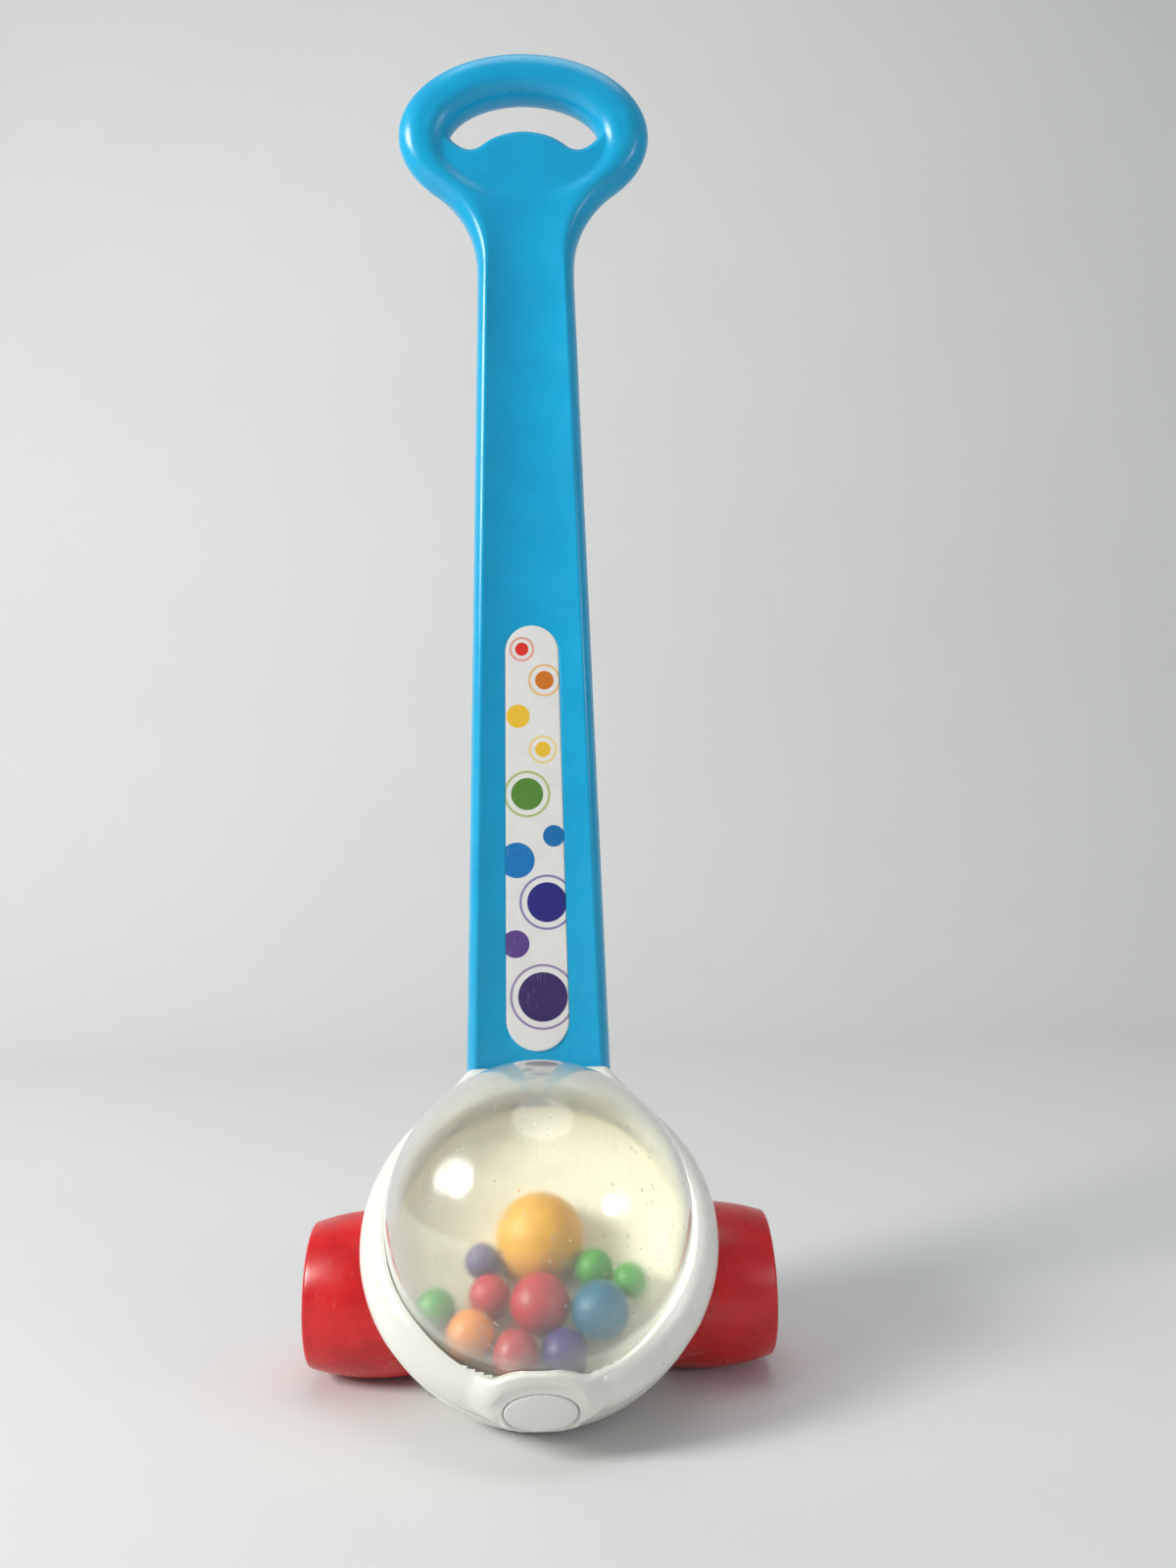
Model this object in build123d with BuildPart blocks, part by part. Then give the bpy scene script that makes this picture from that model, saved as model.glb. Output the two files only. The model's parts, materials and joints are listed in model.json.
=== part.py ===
"""Push toy on two wheels: a cam makes loose balls hop in a see-through dome, on a flat upright handle."""
from build123d import *
from math import cos, hypot, radians, sin, sqrt
import os

os.makedirs("parts", exist_ok=True)

# The toy stands on both wheels and on a flat under the nose of its lower housing, so the
# handle is upright and the axis of the dome leans forward.
lean_angle = 45

# Running and seating clearances
slip_gap = 0.3
snug_gap = 0.2
shaft_gap = 0.05
cut_over = 1.0

# Wheels and axle
wheel_span = 200.0
wheel_mouth_inset = 3.205
wheel_radius = 34.5
wheel_rim_radius = 29.6
wheel_mouth_radius = 33.2
wheel_widest_inset = 13.0
wheel_edge_round = 4.0
wheel_wall = 3.0
wheel_disc_wall = 2.6
wheel_disc_recess = 2.6
wheel_hub_radius = 8.0
wheel_rib_wall = 2.0
wheel_rib_setback = 6.0
wheel_rib_bite = 1.5
wheel_rib_count = 6
axle_radius = 3.0
cap_radius = 7.0
cap_height = 2.2
cap_round = 1.0
cap_grip_depth = 1.4

# Bushes that carry the axle in the inner walls of the wheel wells
bush_wall = 2.0
bush_length = 7.0
bush_flange_radius = 7.5
bush_flange_thick = 1.2
bush_boss_wall = 3.0

# Lower housing: a ball shape with a flat foot and a well for each wheel
bowl_radius = 72.0
bowl_center_height = 45.0
shell_wall = 2.5
well_gap = 3.0
seam_drop = 5.0
spigot_wall = 2.5
shelf_thick = 2.5

# Upper collar around the dome, seated on the seam of the lower housing
collar_seam_step = 0.6
collar_bulge = 1.4
collar_band = 11.5
collar_widest_rise = 10.0
lip_drop = 0.5
lip_width = 1.6
lip_bulge_share = 0.18
hug_wall = 2.2
hug_top_drop = 3.0
hug_top_width = 1.0
boss_cap = 2.0

# Shoulders of the collar beside the handle
shoulder_overhang = 4.0
shoulder_lap = 0.92536
shoulder_setback = 2.5
shoulder_rise = 17.0
shoulder_round = 5.0
shoulder_corner_round = 4.0

# Oval badge on a raised pad at the front of the collar
pad_tilt = 58
pad_width = 38.0
pad_length = 25.0
pad_rise = 1.6
pad_depth = 4.5
pad_round = 1.4
pad_inset = 4.5
pad_drop = 5.8
badge_width = 27.6
badge_length = 15.0
badge_thick = 2.0
badge_rise = 0.5
badge_round = 0.6
badge_drop = 4.2

# Dome
dome_wall = 2.0
dome_center_rise = 14.0
flange_width = 2.5
flange_thick = 2.5

# Popping floor inside the dome, with the sleeve that guides the popper
floor_rim_rise = 10.0
floor_rim_thick = 2.5
floor_wall = 2.0
dish_radius = 250.0
dish_drop = 12.0
sleeve_wall = 2.4

# Popper: a round head on a stem with a wide foot over the cam
popper_head_share = 0.2912
popper_head_drop = 4.0
popper_head_wall = 2.0
popper_stem_radius = 4.5
popper_socket_wall = 2.5
popper_stem_reach = 10.0
popper_foot_radius = 10.0
popper_foot_thick = 2.6
popper_travel = 10.0
popper_end_gap = 1.0
spring_wire_radius = 0.5
spring_mean_radius = 8.7
spring_turns = 6

# Star cam on the axle
cam_tip_radius = 12.0
cam_core_radius = 7.0
cam_lobe_radius = 2.2
cam_lobe_count = 4
cam_width = 9.0
cam_hub_radius = 5.5
cam_hub_length = 18.0
cam_tip_gap = 0.4

# Loose balls, their radii as shares of the dome's radius
ball_radius_shares = {
    "ball_rose_medium": 0.1456,
    "ball_navy_medium": 0.1456,
    "ball_red_large": 0.192,
    "ball_blue_large": 0.1856,
    "ball_orange_medium": 0.1536,
    "ball_red_small": 0.1344,
    "ball_green_left": 0.128,
    "ball_purple_small": 0.1152,
    "ball_green_middle": 0.128,
    "ball_green_small": 0.112,
}
first_ball_angle = -10.7
ball_gap = 0.4

# Handle, measured upward from the axle and backward from it
handle_gap = 1.75483
handle_thick = 22.0
handle_top_height = 566.5
handle_base_half = 33.4
handle_neck_half = 22.8
handle_neck_drop = 72.1
handle_edge_round = 8.5
handle_wall = 1.6
hollow_round = 5.0
grip_half_width = 58.8
grip_half_height = 38.4
grip_flare_round = 45.0
hole_half_width = 35.8
hole_half_height = 20.8
hole_drop = 4.4
hole_edge_round = 7.8
tongue_peak_rise = 4.9
tongue_arch_radius = 35.7
tongue_lobe_drop = 3.7
tongue_front_drop = 4.0
tongue_thick = 8.0
tongue_overlap = 3.0
rail_width = 6.5
channel_depth = 1.8
channel_top_drop = 33.1

# Label in its recess on the front of the handle
label_rise = 9.2
label_high_height = 296.4
label_low_half = 14.9
label_high_half = 12.7
label_recess_depth = 1.0
label_thick = 0.5
label_gap = 0.5

# Tang of the handle and the socket of the housing
tang_step = 2.2
tang_foot_height = 36.0
tang_round = 6.0
socket_floor = 8.0
socket_foot_round = 8.0

# Screws
screw_radius = 1.5
screw_head_radius = 2.9
screw_head_height = 2.0
countersink_angle = 45
screw_boss_wall = 1.7
drive_radius = 1.3
drive_depth = 1.1
drive_bar_width = 0.8
housing_screw_angle = 52.125
housing_screw_clear = 0.2105
housing_screw_bite = 9.0
housing_screw_depth = 8.0
handle_screw_x = 16.0
handle_screw_height = 62.0
handle_screw_length = 13.0
screw_end_gap = 1.0

# Places worked out from the sizes above
lean_sin = sin(radians(lean_angle))
lean_cos = cos(radians(lean_angle))
axle_height = wheel_radius
seam_height = bowl_center_height - seam_drop
floor_rim_height = seam_height + floor_rim_rise
dish_low_height = floor_rim_height - dish_drop
dome_center_height = floor_rim_height + dome_center_rise
collar_widest_height = seam_height + collar_widest_rise
shoulder_top_height = seam_height + shoulder_rise
pad_center_height = dome_center_height - pad_drop
collar_seam_radius = bowl_radius + collar_seam_step
collar_radius = collar_seam_radius + collar_bulge
shoulder_circle_radius = collar_radius - shoulder_setback
pad_center_radius = collar_radius - pad_inset
dome_radius = collar_radius - collar_band
flange_radius = dome_radius + flange_width
popper_head_radius = dome_radius * popper_head_share
popper_head_center_height = floor_rim_height - popper_head_drop
popper_stem_top_height = popper_head_center_height + popper_stem_reach
ball_radii = {name: dome_radius * share for name, share in ball_radius_shares.items()}
handle_front = dome_radius - dome_center_height * lean_sin + handle_gap
handle_back = handle_front + handle_thick
shoulder_reach = collar_radius + shoulder_overhang
handle_base_height = (shoulder_reach - shoulder_lap) / lean_sin - handle_front
dome_reach = dome_center_height * lean_sin + dome_radius
axle_y = (dome_reach - handle_back) / 2
axle_point = Vector(0, axle_y, axle_height)
half_span = wheel_span / 2
wheel_mouth_x = sqrt(bowl_radius ** 2 - bowl_center_height ** 2) - wheel_mouth_inset
wheel_width = half_span - wheel_mouth_x
well_wall_x = wheel_mouth_x - bush_flange_thick - slip_gap
well_radius = wheel_radius + well_gap
lip_height = dome_center_height - lip_drop
bore_radius = dome_radius + slip_gap
dome_inner_radius = dome_radius - dome_wall
grip_height = handle_top_height - grip_half_height
hole_height = grip_height - hole_drop
handle_neck_height = grip_height - handle_neck_drop
tongue_peak_height = hole_height + tongue_peak_rise
tongue_lobe_height = hole_height - tongue_lobe_drop
channel_top_height = grip_height - channel_top_drop
label_low_height = handle_base_height + label_rise
bush_radius = axle_radius + shaft_gap + bush_wall
sleeve_bore = popper_stem_radius + shaft_gap
sleeve_radius = sleeve_bore + sleeve_wall
foot_low_height = cam_tip_radius + cam_tip_gap
foot_high_height = foot_low_height + popper_foot_thick
sleeve_foot_height = foot_high_height + popper_travel + popper_end_gap
boss_radius = screw_radius + screw_boss_wall
housing_screw_circle = flange_radius + boss_radius + housing_screw_clear
housing_screw_x = housing_screw_circle * cos(radians(housing_screw_angle))
housing_screw_y = housing_screw_circle * sin(radians(housing_screw_angle))
housing_screw_seat_height = seam_height - housing_screw_depth

# Planes and axes: the body plane lies across the dome's axis and passes through the axle
body_plane = Plane(origin=axle_point, x_dir=(1, 0, 0), z_dir=(0, -lean_sin, lean_cos))
profile_plane = Plane(origin=axle_point, x_dir=(1, 0, 0), z_dir=-body_plane.y_dir)
dome_axis = Axis(axle_point, body_plane.z_dir)
axle_axis = Axis(axle_point, (1, 0, 0))
axle_plane = Plane(origin=axle_point, x_dir=(1, 0, 0), z_dir=(0, -1, 0))


def handle_plane(back):
    """Upright plane that faces forward, a given distance behind the axle."""
    return Plane(origin=axle_point + Vector(0, back, 0), x_dir=(1, 0, 0), z_dir=(0, -1, 0))


def level_plane(back, height):
    """Level plane, given distances behind and above the axle."""
    return Plane(origin=axle_point + Vector(0, back, height), x_dir=(1, 0, 0), z_dir=(0, 0, 1))


def body_place(x, y, z):
    """Point given across and along the axis of the dome, from the axle."""
    return axle_point + body_plane.x_dir * x + body_plane.y_dir * y + body_plane.z_dir * z


def side_plane(x):
    """Plane across the axle that faces +X, a given distance from the middle."""
    return Plane(origin=axle_point + Vector(x, 0, 0), x_dir=(0, 1, 0), z_dir=(1, 0, 0))


def save(piece, name):
    """Label a finished piece and write it."""
    piece.part.label = name
    export_step(piece.part, "parts/" + name + ".step")


def dish_height(radius, level=0):
    """Height of the dished floor at a distance from its axis."""
    center = dish_low_height + dish_radius
    return center - sqrt((dish_radius + level) ** 2 - radius ** 2)


# Axle: one steel rod through both wheels
axle_end_x = half_span - wheel_disc_recess + cap_grip_depth
with BuildPart() as axle:
    with BuildSketch(side_plane(-axle_end_x)):
        Circle(axle_radius)
    extrude(amount=2 * axle_end_x)
save(axle, "axle")

# Wheels: hollow barrels, open towards the body, with a hub, ribs and a sunk outer disc
disc_out_x = half_span - wheel_disc_recess
disc_in_x = disc_out_x - wheel_disc_wall
for side, wheel_name, cap_name, bush_name in (
    (-1, "wheel_left", "axle_cap_left", "bush_left"),
    (1, "wheel_right", "axle_cap_right", "bush_right"),
):
    widest_x = wheel_mouth_x + wheel_widest_inset
    with BuildPart() as wheel:
        with BuildSketch(axle_plane):
            with BuildLine():
                outer = ThreePointArc(
                    (side * wheel_mouth_x, wheel_mouth_radius),
                    (side * widest_x, wheel_radius),
                    (side * half_span, wheel_rim_radius),
                )
                Line(outer @ 1, (side * half_span, 0))
                Line((side * half_span, 0), (side * wheel_mouth_x, 0))
                Line((side * wheel_mouth_x, 0), outer @ 0)
            make_face()
        revolve(axis=axle_axis)
        rim = wheel.edges().filter_by(GeomType.CIRCLE).sort_by(Axis.X)[-1 if side > 0 else 0]
        fillet(rim, radius=wheel_edge_round)
        with BuildSketch(axle_plane):
            with BuildLine():
                inner = ThreePointArc(
                    (side * (wheel_mouth_x - cut_over), wheel_mouth_radius - wheel_wall),
                    (side * widest_x, wheel_radius - wheel_wall),
                    (side * disc_in_x, wheel_rim_radius - wheel_wall),
                )
                Polyline(
                    inner @ 1,
                    (side * disc_in_x, wheel_hub_radius),
                    (side * (wheel_mouth_x - cut_over), wheel_hub_radius),
                    inner @ 0,
                )
            make_face()
        revolve(axis=axle_axis, mode=Mode.SUBTRACT)
        sink_radius = wheel_rim_radius - wheel_edge_round
        with BuildSketch(side_plane(side * disc_out_x)):
            Circle(sink_radius)
        extrude(amount=side * (wheel_disc_recess + cut_over), mode=Mode.SUBTRACT)
        rib_x = wheel_mouth_x + wheel_rib_setback
        rib_low = wheel_hub_radius - wheel_rib_bite
        rib_high = wheel_rim_radius - wheel_wall + wheel_rib_bite
        with BuildSketch(side_plane(side * rib_x)):
            with PolarLocations((rib_low + rib_high) / 2, wheel_rib_count):
                Rectangle(rib_high - rib_low, wheel_rib_wall)
        extrude(amount=side * (disc_in_x - rib_x))
        with BuildSketch(side_plane(side * (wheel_mouth_x - cut_over))):
            Circle(axle_radius)
        extrude(amount=side * (wheel_width + 2 * cut_over), mode=Mode.SUBTRACT)
    save(wheel, wheel_name)

    # Push-on cap over each end of the axle
    with BuildPart() as cap:
        with BuildSketch(side_plane(side * disc_out_x)):
            Circle(cap_radius)
        extrude(amount=side * cap_height)
        fillet(cap.edges().sort_by(Axis.X)[-1 if side > 0 else 0], radius=cap_round)
        with BuildSketch(side_plane(side * disc_out_x)):
            Circle(axle_radius)
        extrude(amount=side * cap_grip_depth, mode=Mode.SUBTRACT)
    save(cap, cap_name)

    # Flanged bush in the inner wall of the wheel well
    with BuildPart() as bush:
        with BuildSketch(side_plane(side * (well_wall_x - bush_length))):
            Circle(bush_radius)
        extrude(amount=side * bush_length)
        with BuildSketch(side_plane(side * well_wall_x)):
            Circle(bush_flange_radius)
        extrude(amount=side * bush_flange_thick)
        with BuildSketch(side_plane(side * (well_wall_x - bush_length - cut_over))):
            Circle(axle_radius + shaft_gap)
        extrude(amount=side * (bush_length + bush_flange_thick + 2 * cut_over), mode=Mode.SUBTRACT)
    save(bush, bush_name)

# Star cam, pressed on the middle of the axle
with BuildPart() as cam:
    with BuildSketch(side_plane(-cam_width / 2)):
        Circle(cam_core_radius)
        lobe_center = cam_tip_radius - cam_lobe_radius
        with PolarLocations(lobe_center, cam_lobe_count):
            Circle(cam_lobe_radius)
        with PolarLocations(lobe_center / 2, cam_lobe_count):
            Rectangle(lobe_center, 2 * cam_lobe_radius)
    extrude(amount=cam_width)
    with BuildSketch(side_plane(-cam_hub_length / 2)):
        Circle(cam_hub_radius)
    extrude(amount=cam_hub_length)
    with BuildSketch(side_plane(-cam_hub_length / 2 - cut_over)):
        Circle(axle_radius)
    extrude(amount=cam_hub_length + 2 * cut_over, mode=Mode.SUBTRACT)
save(cam, "star_cam")

# Dome: half a hollow ball on a short skirt with a flange
flange_high = floor_rim_height + flange_thick
with BuildPart() as dome:
    with BuildSketch(profile_plane):
        with BuildLine():
            CenterArc((0, dome_center_height), dome_radius, 0, 90)
            Polyline(
                (dome_radius, dome_center_height),
                (dome_radius, flange_high),
                (flange_radius, flange_high),
                (flange_radius, floor_rim_height),
                (dome_inner_radius, floor_rim_height),
                (dome_inner_radius, dome_center_height),
            )
            CenterArc((0, dome_center_height), dome_inner_radius, 0, 90)
            Line((0, dome_center_height + dome_inner_radius), (0, dome_center_height + dome_radius))
        make_face()
    revolve(axis=dome_axis)
save(dome, "clear_dome")

# Popping floor: a shallow dish under the dome, with the popper's sleeve in its middle
floor_skirt_radius = dome_inner_radius + floor_wall
rim_low = floor_rim_height - floor_rim_thick
with BuildPart() as popping_floor:
    with BuildSketch(profile_plane):
        with BuildLine():
            dish = RadiusArc(
                (sleeve_bore, dish_height(sleeve_bore)),
                (dome_inner_radius, dish_height(dome_inner_radius)),
                -dish_radius,
            )
            Polyline(
                dish @ 1,
                (dome_inner_radius, floor_rim_height),
                (flange_radius, floor_rim_height),
                (flange_radius, rim_low),
                (floor_skirt_radius, rim_low),
                (floor_skirt_radius, dish_height(floor_skirt_radius, floor_wall)),
            )
            under = RadiusArc(
                (floor_skirt_radius, dish_height(floor_skirt_radius, floor_wall)),
                (sleeve_radius, dish_height(sleeve_radius, floor_wall)),
                dish_radius + floor_wall,
            )
            Polyline(
                under @ 1,
                (sleeve_radius, sleeve_foot_height),
                (sleeve_bore, sleeve_foot_height),
                dish @ 0,
            )
        make_face()
    revolve(axis=dome_axis)
save(popping_floor, "popping_floor")

# Popper head: a round cap with a socket for the stem
head_low = dish_height(popper_head_radius) + slip_gap
head_inner_radius = popper_head_radius - popper_head_wall
socket_radius = popper_stem_radius + popper_socket_wall
with BuildPart() as popper_head:
    with BuildSketch(profile_plane):
        with BuildLine():
            CenterArc((0, popper_head_center_height), popper_head_radius, 0, 90)
            Polyline(
                (popper_head_radius, popper_head_center_height),
                (popper_head_radius, head_low),
                (head_inner_radius, head_low),
                (head_inner_radius, popper_head_center_height),
            )
            CenterArc((0, popper_head_center_height), head_inner_radius, 0, 90)
            Line(
                (0, popper_head_center_height + head_inner_radius),
                (0, popper_head_center_height + popper_head_radius),
            )
        make_face()
    revolve(axis=dome_axis)
    socket_low = popper_stem_top_height - popper_stem_radius
    socket_high = popper_head_center_height + head_inner_radius
    with BuildSketch(body_plane.offset(socket_low)):
        Circle(socket_radius)
    extrude(amount=socket_high - socket_low)
    with BuildSketch(body_plane.offset(socket_low - cut_over)):
        Circle(popper_stem_radius)
    extrude(amount=popper_stem_radius + cut_over, mode=Mode.SUBTRACT)
save(popper_head, "popper_head")

# Popper stem with the foot that the cam strikes
with BuildPart() as popper_stem:
    with BuildSketch(body_plane.offset(foot_low_height)):
        Circle(popper_foot_radius)
    extrude(amount=popper_foot_thick)
    with BuildSketch(body_plane.offset(foot_high_height)):
        Circle(popper_stem_radius)
    extrude(amount=popper_stem_top_height - foot_high_height)
save(popper_stem, "popper_stem")

# Spring around the sleeve, between the foot and the underside of the floor
spring_low = foot_high_height + spring_wire_radius + shaft_gap
spring_high = dish_low_height - floor_wall - spring_wire_radius - shaft_gap
spring_rise = spring_high - spring_low
with BuildPart() as popper_spring:
    with BuildLine():
        coil = Helix(
            pitch=spring_rise / spring_turns,
            height=spring_rise,
            radius=spring_mean_radius,
            center=body_place(0, 0, spring_low),
            direction=body_plane.z_dir,
        )
    with BuildSketch(Plane(origin=coil @ 0, z_dir=coil % 0)):
        Circle(spring_wire_radius)
    sweep(path=coil)
save(popper_spring, "popper_spring")


def on_wall(radius, angle):
    """Ball centre against the wall of the dome, at an angle from the front."""
    reach = dome_inner_radius - radius - ball_gap
    return (reach * sin(radians(angle)), -reach * cos(radians(angle)))


def nest(first, second, turn):
    """Ball centre that touches two circles, given as x, y and reach; turn picks the side."""
    across = (second[0] - first[0], second[1] - first[1])
    apart = hypot(across[0], across[1])
    along = (first[2] ** 2 - second[2] ** 2 + apart ** 2) / (2 * apart)
    off = turn * sqrt(first[2] ** 2 - along ** 2)
    unit = (across[0] / apart, across[1] / apart)
    return (first[0] + along * unit[0] - off * unit[1], first[1] + along * unit[1] + off * unit[0])


def beside(radius, name):
    """Circle on which a ball's centre lies when it touches a ball already placed."""
    x, y = ball_places[name]
    return (x, y, ball_radii[name] + radius + ball_gap)


def by_wall(radius):
    """Circle on which a ball's centre lies when it touches the wall of the dome."""
    return (0, 0, dome_inner_radius - radius - ball_gap)


def by_popper(radius):
    """Circle on which a ball's centre lies when it touches the popper."""
    return (0, 0, popper_head_radius + radius + ball_gap)


# Each ball rests against two neighbours, and no ball lies over another
ball_places = {"ball_rose_medium": on_wall(ball_radii["ball_rose_medium"], first_ball_angle)}
resting = (
    ("ball_navy_medium", "wall", "ball_rose_medium", 1),
    ("ball_red_large", "ball_rose_medium", "ball_navy_medium", 1),
    ("ball_blue_large", "ball_red_large", "ball_navy_medium", 1),
    ("ball_orange_medium", "wall", "ball_rose_medium", -1),
    ("ball_red_small", "ball_orange_medium", "ball_red_large", 1),
    ("ball_green_left", "wall", "ball_orange_medium", -1),
    ("ball_purple_small", "popper", "ball_red_small", -1),
    ("ball_green_middle", "popper", "ball_blue_large", 1),
    ("ball_green_small", "ball_green_middle", "ball_blue_large", 1),
)
for ball_name, first_name, second_name, turn in resting:
    ball_radius = ball_radii[ball_name]
    near = {"wall": by_wall(ball_radius), "popper": by_popper(ball_radius)}
    first_circle = near[first_name] if first_name in near else beside(ball_radius, first_name)
    second_circle = beside(ball_radius, second_name)
    ball_places[ball_name] = nest(first_circle, second_circle, turn)

for ball_name, (ball_x, ball_y) in ball_places.items():
    ball_radius = ball_radii[ball_name]
    ball_reach = hypot(ball_x, ball_y)
    roll = dish_radius - ball_radius - slip_gap
    ball_z = dish_low_height + dish_radius - sqrt(roll ** 2 - ball_reach ** 2)
    free = dome_inner_radius - ball_radius - slip_gap
    ball_top = dome_center_height + sqrt(free ** 2 - ball_reach ** 2)
    ball_center = body_place(ball_x, ball_y, ball_z)
    with BuildPart() as ball:
        with Locations(ball_center):
            Sphere(ball_radius)
    save(ball, ball_name)
    print(ball_name, [round(v, 3) for v in ball_center], "radius", ball_radius,
          "travel", round(ball_top - ball_z, 3))


def stem_points(inset, low_height):
    """Corners of the tapered stem on an upright plane, with its sides moved in."""
    slope = (handle_base_half - handle_neck_half) / (handle_neck_height - handle_base_height)
    low_half = handle_base_half + slope * (handle_base_height - low_height) - inset
    neck_half = handle_neck_half - inset
    return [
        (-low_half, low_height),
        (low_half, low_height),
        (neck_half, handle_neck_height),
        (neck_half, grip_height),
        (-neck_half, grip_height),
        (-neck_half, handle_neck_height),
    ]


def flare_edges(piece):
    """Edges along the thickness where the stem runs into the grip."""
    found = piece.edges().filter_by(Axis.Y)
    low = axle_height + grip_height - grip_half_height
    high = axle_height + grip_height
    return found.filter_by(lambda e: low < e.center().Z < high)


# Hollow of the handle: open below through the tang
front_skin = handle_wall + channel_depth + label_recess_depth
hollow_depth = handle_thick - handle_wall - front_skin
tang_half = handle_base_half - tang_step
tang_depth = handle_thick - 2 * tang_step
handle_middle = handle_front + handle_thick / 2
hollow_low = handle_base_height + handle_wall
with BuildPart() as hollow:
    with BuildSketch(handle_plane(handle_back - handle_wall)):
        Polygon(*stem_points(handle_wall, hollow_low), align=None)
        with Locations((0, grip_height)):
            Ellipse(grip_half_width - handle_wall, grip_half_height - handle_wall)
    extrude(amount=hollow_depth)
    fillet(flare_edges(hollow), radius=grip_flare_round + handle_wall)
    with BuildSketch(handle_plane(handle_back)):
        with Locations((0, hole_height)):
            Ellipse(hole_half_width + handle_wall, hole_half_height + handle_wall)
    extrude(amount=handle_thick, mode=Mode.SUBTRACT)
    fillet(hollow.faces().filter_by(Axis.Y).edges(), radius=hollow_round)
    with BuildSketch(level_plane(handle_middle, tang_foot_height - cut_over)):
        RectangleRounded(
            2 * (tang_half - handle_wall),
            tang_depth - 2 * handle_wall,
            tang_round - handle_wall,
        )
    extrude(amount=hollow_low + hollow_round - tang_foot_height + cut_over)

# Handle: an oval grip on a tapered stem, a raised rail along each edge and a tang below
with BuildPart() as handle:
    with BuildSketch(handle_plane(handle_back)):
        Polygon(*stem_points(0, handle_base_height), align=None)
        with Locations((0, grip_height)):
            Ellipse(grip_half_width, grip_half_height)
    extrude(amount=handle_thick)
    fillet(flare_edges(handle), radius=grip_flare_round)
    above_base = axle_height + handle_base_height + slip_gap
    outline_edges = handle.faces().filter_by(Axis.Y).edges()
    fillet(outline_edges.filter_by(lambda e: e.center().Z > above_base), radius=handle_edge_round)
    with BuildSketch(handle_plane(handle_back + cut_over)):
        with Locations((0, hole_height)):
            Ellipse(hole_half_width, hole_half_height)
    extrude(amount=handle_thick + 2 * cut_over, mode=Mode.SUBTRACT)
    fillet(handle.edges(Select.LAST).filter_by(lambda e: e.is_closed), radius=hole_edge_round)
    with BuildSketch(handle_plane(handle_front + channel_depth)):
        Polygon(*stem_points(rail_width, handle_base_height - cut_over), align=None)
        with Locations((0, grip_height)):
            Ellipse(grip_half_width - rail_width, grip_half_height - rail_width)
        channel_low = handle_base_height - cut_over
        with Locations((0, (channel_low + channel_top_height) / 2)):
            Rectangle(2 * grip_half_width, channel_top_height - channel_low, mode=Mode.INTERSECT)
    extrude(amount=channel_depth + cut_over, mode=Mode.SUBTRACT)
    with BuildSketch(handle_plane(handle_front + channel_depth + label_recess_depth)):
        with Locations((0, label_low_height + label_low_half)):
            Circle(label_low_half)
        with Locations((0, label_high_height - label_high_half)):
            Circle(label_high_half)
        make_hull()
    extrude(amount=label_recess_depth + cut_over, mode=Mode.SUBTRACT)
    with BuildSketch(level_plane(handle_middle, tang_foot_height)):
        RectangleRounded(2 * tang_half, tang_depth, tang_round)
    extrude(amount=handle_base_height - tang_foot_height)
    add(hollow.part, mode=Mode.SUBTRACT)
    with BuildSketch(handle_plane(handle_front + tongue_front_drop + tongue_thick)):
        with Locations((0, hole_height - hole_half_height)):
            Rectangle(2 * grip_half_width, 2 * (tongue_lobe_height - hole_height + hole_half_height))
        with Locations((0, tongue_peak_height - tongue_arch_radius)):
            Circle(tongue_arch_radius)
        with Locations((0, hole_height)):
            Ellipse(
                hole_half_width + tongue_overlap,
                hole_half_height + tongue_overlap,
                mode=Mode.INTERSECT,
            )
    extrude(amount=tongue_thick)
    screw_places = [(-handle_screw_x, handle_screw_height), (handle_screw_x, handle_screw_height)]
    with BuildSketch(handle_plane(handle_back - tang_step)):
        with Locations(*screw_places):
            Circle(boss_radius)
    extrude(amount=tang_depth)
    with BuildSketch(handle_plane(handle_back)):
        with Locations(*screw_places):
            Circle(screw_radius)
    extrude(amount=handle_screw_length + screw_end_gap, mode=Mode.SUBTRACT)
save(handle, "handle")

# Printed label in the bottom of its recess
with BuildPart() as label:
    with BuildSketch(handle_plane(handle_front + channel_depth + label_recess_depth)):
        with Locations((0, label_low_height + label_low_half)):
            Circle(label_low_half - label_gap)
        with Locations((0, label_high_height - label_high_half)):
            Circle(label_high_half - label_gap)
        make_hull()
    extrude(amount=label_thick)
save(label, "handle_label")

# Block around the tang, as solid stock for both housing shells, and the pocket in it
socket_low = tang_foot_height - slip_gap - socket_floor
with BuildPart() as socket_block:
    with BuildSketch(level_plane(handle_middle, socket_low)):
        RectangleRounded(2 * handle_base_half, handle_thick, handle_edge_round)
    extrude(amount=handle_base_height - socket_low)
    fillet(socket_block.faces().sort_by(Axis.Z)[0].edges(), radius=socket_foot_round)
with BuildPart() as pocket:
    with BuildSketch(level_plane(handle_middle, tang_foot_height - slip_gap)):
        RectangleRounded(
            2 * (tang_half + snug_gap),
            tang_depth + 2 * snug_gap,
            tang_round + snug_gap,
        )
    extrude(amount=handle_base_height - tang_foot_height + slip_gap + cut_over)

# Screws that hold the shells together run along the axis of the dome
housing_places = [
    (x, y) for x in (-housing_screw_x, housing_screw_x) for y in (-housing_screw_y, housing_screw_y)
]

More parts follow.
